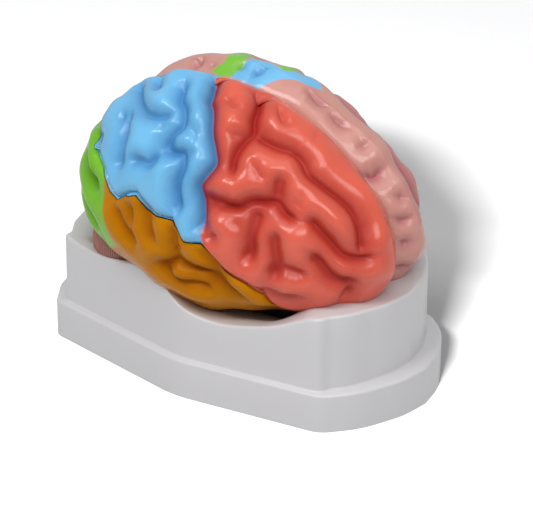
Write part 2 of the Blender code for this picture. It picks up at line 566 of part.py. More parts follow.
def pin(name, spot, length, axis, pieces):
    """A steel pin and its holes in the pieces that it joins."""
    round_bar(name, spot, length, PIN_RADIUS, axis, "steel")
    hole = round_bar(name + "_hole", spot, length + 2 * PIN_END_GAP, PIN_RADIUS + PIN_CLEARANCE, axis, None)
    for piece in pieces:
        cut(piece, hole)


def stand():
    """One moulded shell: plinth, inset wall, wavy rim and bowl, open underneath."""
    outer = plan_ring(0, 0)
    plinth = plan_ring(EDGE_ROUND, EDGE_ROUND)
    wall = plan_ring(SIDE_LEDGE, END_LEDGE)
    rim = rim_height(wall[:, 1])
    flat = np.zeros(SPOKES)
    rings = [(outer, flat), (outer, flat + PLINTH_HEIGHT - EDGE_ROUND), (plinth, flat + PLINTH_HEIGHT),
             (wall, flat + PLINTH_HEIGHT), (wall, rim - EDGE_ROUND)]
    verts = [np.column_stack(r) for r in rings] + bowl_rings(0.0)
    faces = ring_faces(len(verts), SPOKES, closed_start=False)
    obj = new_object("stand", np.vstack(verts), faces, "white")
    face_outward(obj)
    shell = obj.modifiers.new("shell", "SOLIDIFY")
    shell.thickness = WALL * MM
    shell.offset = -1
    return obj


def half_brain(word, side, upper_colour, lower_colour):
    """The four mouldings of one half with the pins and holes that join them."""
    upper = sculpted_half(word + "_frontal_parietal", side, upper_colour)
    lower = place(word + "_temporal_occipital", upper.data.copy(), lower_colour)
    thin_out(lower, HALF_FACETS)
    cut(upper, SEAM_ABOVE)
    cut(upper, STAND_ROOM)
    cut(lower, SEAM_BELOW, "INTERSECT")
    cut(lower, STAND_ROOM)
    x, y, z = CEREBELLUM_CENTRE
    room = [r + CEREBELLUM_GAP for r in CEREBELLUM_RADII]
    hollow = ellipsoid(word + "_cerebellum_room", (side * x, y, z), room, 28, 16)
    passage = stem_half(word + "_stem_room", side, STEM_CLEARANCE, None)
    cut(lower, hollow)
    cut(lower, passage)
    for end, (x, y) in LOBE_PINS.items():
        spot = (side * x, y, seam_height(y, x))
        pin(word + "_" + end + "_pin", spot, LOBE_PIN_LENGTH, "Z", (upper, lower))
    cerebellum = cerebellum_half(word + "_cerebellum", side)
    cut(cerebellum, half_space(word + "_space", side), "INTERSECT")
    cut(cerebellum, passage)
    cut(cerebellum, STAND_ROOM)
    stem = stem_half(word + "_brainstem", side, 0.0, "ivory")
    cut(stem, STAND_ROOM)


for old in list(bpy.data.objects):
    bpy.data.objects.remove(old, do_unlink=True)
PARTS = bpy.data.collections.new("brain_anatomy_model")
CUTTERS = bpy.data.collections.new("cutters")
bpy.context.scene.collection.children.link(PARTS)
bpy.context.scene.collection.children.link(CUTTERS)

SEAM_ABOVE = seam_cutter("seam_above", (0, 0))
SEAM_BELOW = seam_cutter("seam_below", SEAM_GAP)
STAND_ROOM = stand_room("stand_room")
stand()
half_brain("right", -1, "coral", "ochre")
half_brain("left", 1, "beige", "beige")
for held, (y, z) in MIDLINE_PINS.items():
    pair = [PARTS.objects[word + "_" + held] for word in ("right", "left")]
    pin(held + "_pin", (0, y, z), MID_PIN_LENGTH, "X", pair)
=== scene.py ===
"""Looks of the brain anatomy model: four sculpted and painted mouldings, a cerebellum with fine folds,
steel pins and a white moulded stand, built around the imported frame."""

import math

import bmesh
import bpy
import numpy as np
from bpy.props import FloatProperty, FloatVectorProperty, IntProperty, PointerProperty
from mathutils import Matrix, Vector, kdtree


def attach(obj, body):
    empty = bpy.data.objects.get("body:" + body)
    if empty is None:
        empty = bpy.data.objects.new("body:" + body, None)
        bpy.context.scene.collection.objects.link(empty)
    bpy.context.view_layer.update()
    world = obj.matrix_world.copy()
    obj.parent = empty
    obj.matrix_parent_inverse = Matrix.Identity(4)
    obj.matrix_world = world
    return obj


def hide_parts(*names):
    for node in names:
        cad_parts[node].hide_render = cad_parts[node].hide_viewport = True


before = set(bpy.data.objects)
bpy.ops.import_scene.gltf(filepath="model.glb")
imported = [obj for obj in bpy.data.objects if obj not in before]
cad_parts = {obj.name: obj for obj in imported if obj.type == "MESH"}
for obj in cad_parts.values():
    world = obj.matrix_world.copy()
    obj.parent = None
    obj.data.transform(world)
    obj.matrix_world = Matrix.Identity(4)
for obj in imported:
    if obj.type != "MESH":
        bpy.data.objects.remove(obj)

bl_info = {
    "name": "Brain anatomy model",
    "version": (1, 0, 0),
    "blender": (4, 5, 0),
    "location": "View3D > Sidebar > Brain model",
    "description": "Sculpts, paints and stages a take-apart brain model on its stand",
    "category": "Object",
}

MM = 0.001
DOUBLE_DISTANCE = 0.000002
ROOT_BODY = "stand_and_lower_brain"

# Half brain seen from its side in millimetres: y runs back, z runs up
HALF_WIDTH = 60.0
CREST_OFFSET = 12.0          # midline to the crest beside the long fissure
FULLNESS = 2.05              # exponent of the rounded section, 2 is an ellipse
CENTRE_Y, CENTRE_Z = 2.0, 80.0
TEMPORAL_BULGE = 5.0
TEMPORAL_BULGE_PLACE = (15, -38)
TEMPORAL_BULGE_SPREAD = 26.0
EDGE_TUCK = 0.8              # how far the midline edge turns in, as a share of the crest's offset
MIDLINE_GAP = 0.8
CREST_TILT, EDGE_TILT, FACE_TILT = 90.0, 120.0, 180.0
CREST_OUTLINE = [(-88, 66), (-91, 80), (-85, 98), (-70, 116), (-47, 134), (-20, 146), (8, 149.5),
                 (36, 145), (62, 127), (76, 105), (80, 88), (76.5, 74), (63.5, 60.5), (44, 48),
                 (16, 40), (-14, 39), (-40, 44), (-64, 49), (-80, 56)]

# Seam between the upper and the lower moulding: (y, height at the side, height at the midline)
SEAM = [(-100, 38, 38), (-52, 44, 44), (-46, 55, 52), (-42, 64, 58), (-36, 69, 62), (-25, 73, 67),
        (-18, 80, 70), (-13, 85, 72), (-4, 84, 73), (0, 89, 74), (3, 94, 74), (12, 94, 74), (19, 96, 75),
        (25, 102, 77), (31, 100, 79), (38, 95.5, 83), (43, 98, 87), (48, 104, 94), (56, 109.5, 106),
        (60, 112, 111), (60.5, 125, 125), (61, 150, 150)]
SEAM_FLAT = 12.0
SEAM_GAP = (0.4, 0.7)
SEAM_TURN = 60.0             # place along the brain where the seam turns upward

# Furrows as (depth, half width, [(degrees forward, degrees up), ...]) from the centre of the side
FURROWS = {
    "central": (6.0, 7.5, [(-9, 101), (-6, 90), (-2, 80), (0, 73), (4, 67), (7, 60), (9, 52), (12, 45),
                           (14, 38), (11, 31), (9, 26.5), (10.5, 20), (11.5, 12), (10.5, 6)]),
    "upper_precentral": (6.0, 8.0, [(25, 103), (26, 95), (27, 84), (28, 75), (28, 67), (29, 59), (26, 53),
                                    (23, 46), (22, 39), (23, 32)]),
    "upper_frontal": (5.5, 8.5, [(29, 58), (36, 54.5), (43, 52), (49, 50.5), (53.5, 45.5), (55.5, 38.5),
                                 (60.5, 34), (68, 28), (72, 22.5), (73, 15.5), (72, 9), (69.5, 3)]),
    "inner_frontal": (5.5, 7.0, [(47.5, 15.5), (51, 16.5), (53.5, 12.5), (56.5, 8.5), (59.5, 4.5),
                                 (63.5, 2.5), (70.5, 1.5), (79, 2)]),
    "lower_frontal": (6.0, 7.5, [(10, 23), (14, 21.5), (20, 20), (25, 19.5), (30, 22.5), (35, 23),
                                 (39.5, 23.5), (42, 18.5), (46, 16)]),
    "ascending": (6.0, 8.0, [(32.5, 21), (31.5, 18), (29.5, 13), (27, 8), (25.5, 3), (22, -1)]),
    "ascending_bay": (3.0, 6.0, [(23, 16.5), (23.5, 12.5), (25, 9.5)]),
    "short_upright": (5.5, 6.0, [(36, 12.5), (34.5, 6.5), (34, 1.5), (33.3, -2), (33.4, -6)]),
    "lower_hook": (4.5, 6.0, [(33.4, -6), (34.5, -3), (36.7, -1.5), (41.5, -2.7), (46.4, -3.6)]),
    "orbital": (5.5, 7.5, [(46, 5), (50, 1), (53.5, -3.5), (58, -6.5), (63.5, -8), (69, -9.5)]),
    "orbital_branch": (4.5, 6.0, [(64.5, -8.5), (65.5, -13), (64, -18)]),
    "middle": (5.5, 7.0, [(43.5, 38), (41.5, 31.5), (40.5, 27), (38.7, 23)]),
    "middle_pit": (2.5, 4.5, [(49.5, 27), (47, 23.5), (48.7, 22)]),
    "middle_slope": (2.5, 8.0, [(29.5, 42.5), (33, 36.5), (36.5, 31)]),
    "crest_crease": (2.5, 5.5, [(38, 80), (41.5, 70), (44.5, 66), (48, 67.5)]),
    "crest_dimple": (2.0, 6.0, [(59, 61.5), (63, 59.5)]),
    "precentral_top": (2.2, 6.5, [(6, 77), (14.5, 71), (20.5, 68.5)]),
    "precentral_hook": (2.5, 6.0, [(15.5, 55), (20.5, 54), (27, 57)]),
    "front_dimple": (2.5, 6.0, [(79, 19.5), (76, 14), (75.5, 8.5)]),
    "lower_edge": (3.5, 5.5, [(30.5, -9.5), (38, -13.5), (42.5, -15), (48, -13.5)]),
    "notch": (4.5, 5.0, [(11, 5), (14, 6), (17, 7.5)]),
    "upper_parietal": (5.0, 7.0, [(-22, 80), (-18, 72), (-14, 65), (-9.5, 61), (-7.5, 57), (-6.5, 51.5),
                                  (-9, 46.5), (-10.5, 41), (-12, 36)]),
    "parietal_trough": (4.5, 7.5, [(-56, 67.5), (-46, 62), (-38.5, 57), (-28.5, 51.5), (-21.5, 51.5),
                                   (-16, 54), (-13, 58)]),
    "parietal_pit": (3.0, 5.0, [(-16.5, 49.5), (-15, 45.5)]),
    "postcentral_bend": (2.0, 5.5, [(-3, 54), (2, 48.5), (1.5, 43.5)]),
    "supramarginal_back": (5.0, 6.5, [(-12, 36), (-14, 32), (-15.5, 29), (-20, 29), (-26, 28)]),
    "supramarginal": (5.5, 7.0, [(-12.5, 37.5), (-8, 38), (-4, 38), (-1, 38.5), (0.5, 33), (-0.7, 27),
                                 (-0.7, 22), (0.8, 17), (1, 12)]),
    "supramarginal_front": (2.5, 5.0, [(6, 41), (-1, 40)]),
    "angular": (4.5, 7.5, [(-40, 51), (-38, 47.5), (-34, 39.5), (-32.5, 33), (-31, 26), (-29.5, 21)]),
    "angular_pit": (3.5, 5.5, [(-46, 49), (-43.5, 47), (-39, 41.5)]),
    "top_notch": (4.0, 6.0, [(-44, 77), (-38, 71), (-30, 65)]),
    "upper_temporal": (5.0, 6.5, [(36, -24), (28, -19), (20, -13), (16.5, -10), (11.5, -11), (6.5, -12),
                                  (0.5, -11), (-7, -15.5), (-15, -18.5)]),
    "temporal_upright": (3.5, 6.0, [(-2, 9), (-0.3, 4), (-0.4, -3), (0.7, -10)]),
    "temporal_rear": (4.0, 6.0, [(-28.5, 8), (-25.5, 3), (-21, -2.5), (-22, -7)]),
    "temporal_middle": (4.0, 6.0, [(-23, 11.5), (-20.5, 7.5), (-18.5, 2)]),
    "temporal_fore": (4.0, 6.0, [(-16.5, 13.5), (-13, 9), (-10.5, 2.5), (-8, -1.5)]),
    "temporal_front": (3.5, 5.5, [(6.5, 0.5), (10.5, -1), (16, -5.5), (20, -11), (24, -17.5)]),
    "lower_temporal": (4.5, 6.0, [(-13, -17), (-8, -22), (-3, -26), (5, -27), (12, -24), (18, -22),
                                  (24, -26)]),
    "occipital_upper": (5.0, 6.5, [(-66, 22), (-56, 18), (-48, 13.5), (-41, 10)]),
    "occipital_lower": (5.0, 6.5, [(-63, 4), (-57, 0), (-51, -3), (-46, -8)]),
    "occipital_cross": (4.5, 6.0, [(-58, 34), (-53, 32), (-47, 29.5)]),
    "occipital_top": (4.5, 6.0, [(-74, 44), (-66, 40), (-60, 37)]),
    "occipital_notch": (4.5, 6.0, [(-76, 54), (-68, 49), (-61, 46)]),
    "occipital_crown": (3.0, 4.5, [(-74, 66), (-66, 60), (-59, 56)]),
}
# Soft hollows beside the long fissure on the left half
LEFT_HOLLOWS = [
    (2.2, 6.0, [(47, 95), (48, 89), (57, 86), (59.5, 77)]), (2.2, 6.0, [(66, 82), (75.5, 73), (77, 66)]),
    (2.2, 6.0, [(94, 62), (85, 55), (76, 50)]), (3.0, 7.0, [(112, 50), (107, 43), (97, 41.5), (88, 38)]),
    (2.4, 6.0, [(108, 28), (100, 23), (89, 17.5)]), (2.6, 5.0, [(117, 16), (110, 12), (96, 12)]),
    (2.6, 5.0, [(118, -0.5), (113, -2), (104, -2)]), (2.6, 5.0, [(115, -22), (106, -20), (90, -17)]),
    (2.8, 6.0, [(-50, 104), (-44.5, 99), (-39.5, 94.5), (-36, 84)]), (2.2, 5.0, [(-33.5, 109), (-29, 100)]),
    (2.5, 4.5, [(12, 92), (9, 102), (7, 114)]), (2.2, 4.5, [(-4, 98), (-7, 112)]),
]
# Furrows of the flat midline face as (depth, half width, [(y, z), ...])
MIDLINE_FURROWS = {
    "cingulate": (3.0, 6.0, [(-46, 68), (-62, 76), (-64, 92), (-50, 108), (-26, 119), (2, 123), (26, 121),
                             (36, 134)]),
    "callosal": (2.5, 6.0, [(-30, 78), (-42, 82), (-44, 94), (-32, 103), (-6, 108), (18, 106), (32, 98),
                            (34, 89)]),
    "parieto_occipital": (3.0, 6.0, [(60, 122), (52, 108), (44, 98)]),
}
FURROW_BED = 0.9             # radius of the rounded bed of a furrow
FURROW_SPREAD = 1.25         # how many times wider the furrows are than their table
FURROW_DEEPEN = 1.4          # how many times deeper they are
EVEN_PASSES = 6              # times that the depths are averaged over the grid
ROUNDNESS = 1.65             # exponent of the folds' section, 2 is a circle
LEFT_REACH = 78.0            # the left half's outer furrows stop this many degrees from the side's centre
FURROW_ENDS = 5.0            # length over which a furrow runs out at its ends
FURROW_END_SHARE = 0.25      # share of its depth left at the very end
FURROW_LIMIT = 9.0           # no crossing of furrows is deeper than this
FURROW_MOST = 0.93           # share of that limit one furrow may take
LEFT_WARP = 3.0              # degrees by which the left half's furrows wander from the right's
LINE_STEPS = 4               # steps between two points of a furrow
FACE_RINGS = 30              # rings of faces that close the midline face
LIP_SPREAD, LIP_POWER = 2.0, 1.4
STEP_FADE = 14.0             # distance below the seam over which its step fades
LUMP_WAVES, LUMP_SEED = 14, 5
LUMP_LENGTHS = (14.0, 30.0)
LUMP_FADE = 10.0             # no lumps at the midline face and full ones this far from it
SUNK_FULL_RIGHT, SUNK_FULL_LEFT = 7.5, 4.5    # depth at which a furrow has its dark tone in full: painted shade, and mauve paint on the left half's flesh
MASK_REACH = 1.6             # cut faces this far from the skin take no dark tone

# Painted fields in the same chart degrees; the far corners lie beyond the midline face
PARIETAL_BACK = [(-8, 120), (-12, 200), (-300, 200), (-300, -80), (10.5, -80)]
OCCIPITAL_FIELD = [(-38, 200), (-38, 30), (-36, 12), (-33, -2), (-34, -10), (-43, -15), (-62, -21),
                   (-300, -30), (-300, 200)]
LEFT_GREEN = [[(-31, 111), (-21, 104), (-17, 84), (-15, 74), (-5, 77), (-5, 105), (-10, 116), (-22, 116)],
              [(13, 83), (13, 74), (24, 71), (23, 82), (20, 85.5)]]
LEFT_BLUE = [[(-12, 117), (-6, 105), (-2.5, 84), (6, 83), (20, 85.5), (25, 75), (36, 71), (43, 72.5),
              (36, 85), (26, 106), (23, 113), (20, 117), (5, 118)]]

PARIETAL_EDGE, OCCIPITAL_EDGE, LEFT_EDGE = 1.2, 2.6, 1.5    # softness of the painted borders

# Painted shade in the furrows of each colour, tints of the shine, and the make of the paint
CORAL_SHADE = (0.38, 0.012, 0.007)
OCHRE_SHADE = (0.30, 0.065, 0.001)
SKY_SHADE = (0.045, 0.21, 0.48)
LIME_SHADE = (0.07, 0.25, 0.012)
CLEAR_SHINE = (1.0, 1.0, 1.0, 1.0)
WARM_SHINE = (1.0, 0.7, 0.15, 1.0)
PAINT_IOR, OCHRE_IOR = 1.45, 1.33
PAINT_COAT, COAT_ROUGHNESS = 0.2, 0.15
TONE_CURVE = 0.9             # under 1, the furrows' dark tone (painted shade, and the left half's mauve paint) reaches further up their sides
FURROW_ROUGHNESS = 0.5       # what the bed of a furrow adds to the roughness
FLOOR_SEEN = (0.42, 0.42, 0.425, 1.0)
FLOOR_UNSEEN = (0.22, 0.22, 0.22, 1.0)
REFLECTED_WHITE = 0.3        # share of the white surroundings that reflections show

# Lamps as (azimuth, elevation, distance, width, height)
LAMP_AIM = (0, 0, 0.08)
LAMPS = {"key": (-38, 46, 1.5, 0.9, 0.6), "side": (-105, 56, 1.4, 0.6, 0.5), "top": (-50, 80, 1.2, 0.8, 0.8)}
FLOOR_LAMP = (-72, 28.5, 5.0, 0.8, 0.25)

# Stand
STAND_HALF_WIDTH = 56.8
STAND_HALF_LENGTH = 103.5
PLINTH_HEIGHT = 19.3
SIDE_LEDGE = 3.3
END_LEDGE = 9.2
WALL = 2.6
BOWL_FLOOR = 20.0
SEAT_LEVEL = 37.6
RIM_HEIGHT = [(-94, 56.5), (-72, 57), (-62, 53.5), (-50, 48.5), (-37, 45), (-21, 42.5), (-8, 43.3),
              (3, 46.5), (12, 52), (20, 57), (30, 58.5), (45, 55), (60, 52.5), (75, 53), (95, 56)]
FRONT_SLOPE = 4.0            # how much more gently the bowl falls at the front
FRONT_SLOPE_PLACES = (45, 75)
FRONT_SLOPE_HOLD = 12        # distance in from which the front falls back to the floor
BOWL_SEAT = 30               # distance in at which the bowl reaches the seat's level
# Bowl from the rim inwards: (distance in, share of the rim, share of the seat, share of the floor)
BOWL = [(4, 0.98, 0.02, 0), (8, 0.93, 0.07, 0), (12, 0.82, 0.18, 0), (18, 0.5, 0.5, 0), (BOWL_SEAT, 0, 1, 0),
        (33, 0, 0.75, 0.25), (36, 0, 0.25, 0.75), (39, 0, 0, 1)]
SPINE_HALF_LENGTH = 40.0     # the bowl narrows towards a line of this half length
SEAT_GAP = 0.35
BEND_STEPS = 7               # rings around each rounded edge of the stand
CORNER_SHARE = 0.48          # share of an edge that a rounded corner of the plan may take

# Cerebellum, brain stem passage and pins
CEREBELLUM_CENTRE = (18.5, 46.0, 57.0)
CEREBELLUM_RADII = (19.5, 27.0, 24.0)
CEREBELLUM_GAP = 0.8
STEM_SECTIONS = [(20.6, 31, 6.5, 6.0), (27, 30, 8, 7.0), (34, 28, 9.5, 8.5), (40, 22, 14, 11.5),
                 (48, 17, 16, 14.0), (56, 15, 15.5, 13.5), (62, 14, 13, 10.5), (71.5, 13, 12.5, 10.0)]
STEM_CLEARANCE = 0.8
PIN_CLEARANCE = 0.35
LOBE_PIN_LENGTH = 18.0
LOBE_PINS = [(38.0, -22.0), (36.0, 32.0)]
MIDLINE_PIN_LENGTH = 14.0
MIDLINE_PINS = [(16.0, 50.0), (54.0, 52.0), (72.0, 92.0)]

# Photograph's view: back vector by azimuth and elevation, focal length and aim in picture points
PICTURE = (533, 506)
VIEW_AZIMUTH, VIEW_ELEVATION = -57.97, 25.21
VIEW_DISTANCE = 1.5
VIEW_FOCAL = 3150.0
VIEW_AIM = (-0.03579, -0.02656, 0.05)
VIEW_AIM_AT = (250.0, 300.0)


def colour_property(name, words, value):
    return FloatVectorProperty(name=name, description=words, default=value, subtype="COLOR", size=3,
                               min=0.0, max=1.0)


def length_property(name, words, value):
    return FloatProperty(name=name, description=words, default=value, unit="LENGTH", min=0.0,
                         precision=5)


def count_property(name, words, value, least, most):
    return IntProperty(name=name, description=words, default=value, min=least, max=most)


def power_property(name, words, value):
    return FloatProperty(name=name, description=words, default=value, unit="POWER")


class PaintSettings(bpy.types.PropertyGroup):
    coral: colour_property("Coral", "Paint of the right frontal lobe", (0.76, 0.12, 0.07))
    sky: colour_property("Sky blue", "Paint of the parietal lobe", (0.17, 0.52, 0.84))
    ochre: colour_property("Ochre", "Paint of the temporal lobe", (0.56, 0.205, 0.002))
    lime: colour_property("Lime green", "Paint of the occipital lobe", (0.20, 0.54, 0.04))
    flesh: colour_property("Flesh", "Paint of the plain left half", (0.62, 0.30, 0.245))
    mauve: colour_property("Mauve", "Paint in the left half's furrows", (0.42, 0.13, 0.15))
    umber: colour_property("Umber", "Paint of the cerebellum", (0.33, 0.125, 0.09))
    ivory: colour_property("Ivory", "Paint of the brain stem", (0.70, 0.58, 0.42))
    white: colour_property("White", "Moulded plastic of the stand", (0.66, 0.65, 0.665))
    gloss: FloatProperty(name="Roughness", description="Roughness of the paint", default=0.22, min=0.0,
                         max=1.0, subtype="FACTOR")


class ReliefSettings(bpy.types.PropertyGroup):
    cells: count_property("Cells", "Cells across one half's skin", 370, 40, 380)
    swell: length_property("Swell", "Rise of the folds above the smooth form", 0.0008)
    lumps: length_property("Lumps", "Height of the broad unevenness of the skin", 0.0008)
    seam_round: length_property("Seam rounding", "How deep the edge rounds over at the seam", 0.0022)
    seam_step: length_property("Seam step", "How far the lower skin lies inside the upper one", 0.0016)


class StandSettings(bpy.types.PropertyGroup):
    spokes: count_property("Spokes", "Points around the stand", 480, 48, 720)
    edge_round: length_property("Edge rounding", "Radius of the stand's edges", 0.0014)
    foot_round: length_property("Foot rounding", "Radius where the wall meets the plinth", 0.0012)


class SmallPartSettings(bpy.types.PropertyGroup):
    leaves: count_property("Leaves", "Fine leaves around the cerebellum", 110, 10, 160)
    leaf_height: length_property("Leaf height", "Height of the cerebellum's fine leaves", 0.00055)
    pin_radius: length_property("Pin radius", "Radius of the steel pins", 0.002)


class StageSettings(bpy.types.PropertyGroup):
    floor_size: length_property("Floor size", "Side of the square floor", 6.0)
    sky_light: FloatProperty(name="Sky light", description="Strength of the even light", default=0.36)
    key_light: power_property("Key light", "Power of the large lamp", 7.0)
    side_light: power_property("Side light", "Power of the lamp at the right side", 7.0)
    top_light: power_property("Top light", "Power of the lamp overhead", 2.5)
    floor_light: power_property("Floor light", "Power of the lamp that lights the floor only", 960.0)


class Wire:
    """A node's output that adds its Math nodes when it is used in an expression."""

    def __init__(self, graph, output):
        self.graph = graph
        self.output = output

    def math(self, operation, first, second=0.0):
        return self.graph.add("ShaderNodeMath", {"operation": operation}, {0: first, 1: second})

    def __add__(self, other):
        return self.math("ADD", self, other)

    def __radd__(self, other):
        return self.math("ADD", other, self)

    def __sub__(self, other):
        return self.math("SUBTRACT", self, other)

    def __rsub__(self, other):
        return self.math("SUBTRACT", other, self)

    def __mul__(self, other):
        return self.math("MULTIPLY", self, other)

    def __pow__(self, other):
        return self.math("POWER", self, other)

    def absolute(self):
        return self.math("ABSOLUTE", self)

    def sine(self):
        return self.math("SINE", self)

    def at_least(self, least):
        return self.math("MAXIMUM", self, least)

    def beside(self, key):
        """Another output of the same node."""
        return Wire(self.graph, self.output.node.outputs[key])


class Graph:
    """A node tree that is filled one node at a time."""

    def __init__(self, tree):
        self.tree = tree
        self.tree.nodes.clear()

    def add(self, kind, settings=None, inputs=None, output=0):
        node = self.tree.nodes.new(kind)
        for key, value in (settings or {}).items():
            setattr(node, key, value)
        for key, value in (inputs or {}).items():
            if isinstance(value, Wire):
                self.tree.links.new(value.output, node.inputs[key])
            else:
                node.inputs[key].default_value = value
        return Wire(self, node.outputs[output]) if node.outputs else node

    def blend(self, mask, first, second):
        """One colour turning into another by a mask; 6, 7 and output 2 are the Mix node's colours."""
        settings = {"data_type": "RGBA"}
        return self.add("ShaderNodeMix", settings, {0: mask, 6: first, 7: second}, output=2)

    def mask(self, name):
        """The plain value of a mesh attribute."""
        return self.add("ShaderNodeAttribute", {"attribute_name": name}, output=2)


def finish_graph(name):
    material = bpy.data.materials.new(name)
    material.use_nodes = True
    return material, Graph(material.node_tree)


def opaque(colour, share=1.0):
    return (colour[0] * share, colour[1] * share, colour[2] * share, 1.0)


def surface(graph, colour, roughness, bump, constants):
    """Close a material with a Principled surface."""
    inputs = {"Base Color": colour, "Roughness": roughness, "Normal": bump, **constants}
    shader = graph.add("ShaderNodeBsdfPrincipled", None, inputs)
    graph.add("ShaderNodeOutputMaterial", None, {"Surface": shader})


def noise(graph, scale, detail):
    place = graph.add("ShaderNodeTexCoord", output="Object")
    return graph.add("ShaderNodeTexNoise", None, {"Vector": place, "Scale": scale, "Detail": detail})


def bump_from(graph, height, strength, distance):
    inputs = {"Height": height, "Strength": strength, "Distance": distance}
    return graph.add("ShaderNodeBump", None, inputs)


def painted(name, tones, fields, tint, coat, ior=PAINT_IOR):
    """Glossy paint with painted shade in the furrows (mauve paint on the left half); fields are (mask,
    tones) over it.
    """
    paint = bpy.context.scene.brain_paint
    material, graph = finish_graph(name)
    high, low = opaque(tones[0]), opaque(tones[1])
    for mask, (field_high, field_shade) in fields:
        weight = graph.mask(mask)
        high = graph.blend(weight, high, opaque(field_high))
        low = graph.blend(weight, low, opaque(field_shade))
    sunk = graph.mask("sunk")
    # darker where the furrows sink: painted shade, with real mauve paint in the left half's furrows
    colour = graph.blend(sunk ** TONE_CURVE, high, low)
    mottle = noise(graph, 70.0, 2.0)
    colour = graph.blend((mottle - 0.42) * 0.3, colour, low)
    rough = paint.gloss + sunk * sunk * FURROW_ROUGHNESS + (noise(graph, 260.0, 2.0) - 0.5) * 0.10
    bump = bump_from(graph, noise(graph, 520.0, 2.0), 0.14, 0.0004)
    shine = {"IOR": ior, "Specular Tint": tint, "Coat Weight": (1 - sunk) * coat,
             "Coat Roughness": COAT_ROUGHNESS}
    surface(graph, colour, rough, bump, shine)
    return material


def smooth_through(points, steps):
    """A rounded line through a few given points."""
    p = np.array(points, float)
    p = np.vstack([2 * p[0] - p[1], p, 2 * p[-1] - p[-2]])
    out = []
    for a, b, c, d in zip(p[:-3], p[1:-2], p[2:-1], p[3:]):
        for t in np.arange(steps) / steps:
            out.append(0.5 * (2 * b + (c - a) * t + (2 * a - 5 * b + 4 * c - d) * t ** 2
                              + (3 * b - a - 3 * c + d) * t ** 3))
    return np.array(out + [p[-2]])


def crest_radius(angle):
    """Distance from the centre of the side to the crest outline, for angles in degrees."""
    y, z = np.array(CREST_OUTLINE, float).T
    at = np.degrees(np.arctan2(z - CENTRE_Z, CENTRE_Y - y)) % 360
    order = np.argsort(at)
    at, far = at[order], np.hypot(y - CENTRE_Y, z - CENTRE_Z)[order]
    at = np.concatenate([at[-2:] - 360, at, at[:2] + 360])
    far = np.concatenate([far[-2:], far, far[:2]])
    angle = np.mod(angle, 360.0)
    i = np.clip(np.searchsorted(at, angle, side="right") - 1, 1, len(at) - 3)
    span = at[i + 1] - at[i]
    t = (angle - at[i]) / span
    rise = (far[i + 1] - far[i - 1]) / (at[i + 1] - at[i - 1]) * span
    fall = (far[i + 2] - far[i]) / (at[i + 2] - at[i]) * span
    return ((2 * t ** 3 - 3 * t ** 2 + 1) * far[i] + (t ** 3 - 2 * t ** 2 + t) * rise
            + (3 * t ** 2 - 2 * t ** 3) * far[i + 1] + (t ** 3 - t ** 2) * fall)


def half_surface(tilt, angle):
    """Point of the smooth half brain, tilt in degrees from the side's centre (90 is the crest)."""
    turn = np.radians(np.minimum(tilt, CREST_TILT))
    power = 2.0 / FULLNESS
    forward, up = tilt * np.cos(np.radians(angle)), tilt * np.sin(np.radians(angle))
    off = (forward - TEMPORAL_BULGE_PLACE[0]) ** 2 + (up - TEMPORAL_BULGE_PLACE[1]) ** 2
    bulge = TEMPORAL_BULGE * np.exp(-off / TEMPORAL_BULGE_SPREAD ** 2)
    side = CREST_OFFSET + (HALF_WIDTH - CREST_OFFSET) * np.maximum(np.cos(turn), 1e-9) ** power + bulge
    past = np.clip((tilt - CREST_TILT) / (EDGE_TILT - CREST_TILT), 0.0, 1.0)
    over = CREST_OFFSET * np.cos(past * math.pi / 2) + MIDLINE_GAP / 2
    crest = crest_radius(angle)
    reach = np.where(tilt > CREST_TILT, crest - EDGE_TUCK * CREST_OFFSET * (1 - np.sqrt(1 - past ** 2)),
                     crest * np.sin(turn) ** power)
    x = np.where(tilt > CREST_TILT, over, np.maximum(side, MIDLINE_GAP / 2))
    return np.stack([x, CENTRE_Y - reach * np.cos(np.radians(angle)),
                     CENTRE_Z + reach * np.sin(np.radians(angle))], -1)


def on_side(points):
    """Lay (degrees forward, degrees up) points on the smooth half brain."""
    forward, up = np.array(points, float).T
    return half_surface(np.hypot(forward, up), np.degrees(np.arctan2(up, forward)))


def furrow_lines(side):
    """Every furrow of one half as (depth, half width, line in millimetres on the +X side)."""
    lines = []
    for depth, half_width, points in FURROWS.values():
        p = smooth_through(points, LINE_STEPS)
        if side > 0:
            p = p + LEFT_WARP * np.stack([np.sin(p[:, 1] / 17 + 1), np.sin(p[:, 0] / 19)], -1)
            p = p[np.hypot(p[:, 0], p[:, 1]) < LEFT_REACH]
        if len(p) > 1:
            lines.append((depth, half_width, on_side(p)))
    for depth, half_width, points in LEFT_HOLLOWS if side > 0 else []:
        lines.append((depth, half_width, on_side(smooth_through(points, LINE_STEPS))))
    for depth, half_width, points in MIDLINE_FURROWS.values():
        p = smooth_through(points, LINE_STEPS)
        lines.append((depth, half_width, np.column_stack([np.full(len(p), MIDLINE_GAP / 2), p])))
    return lines


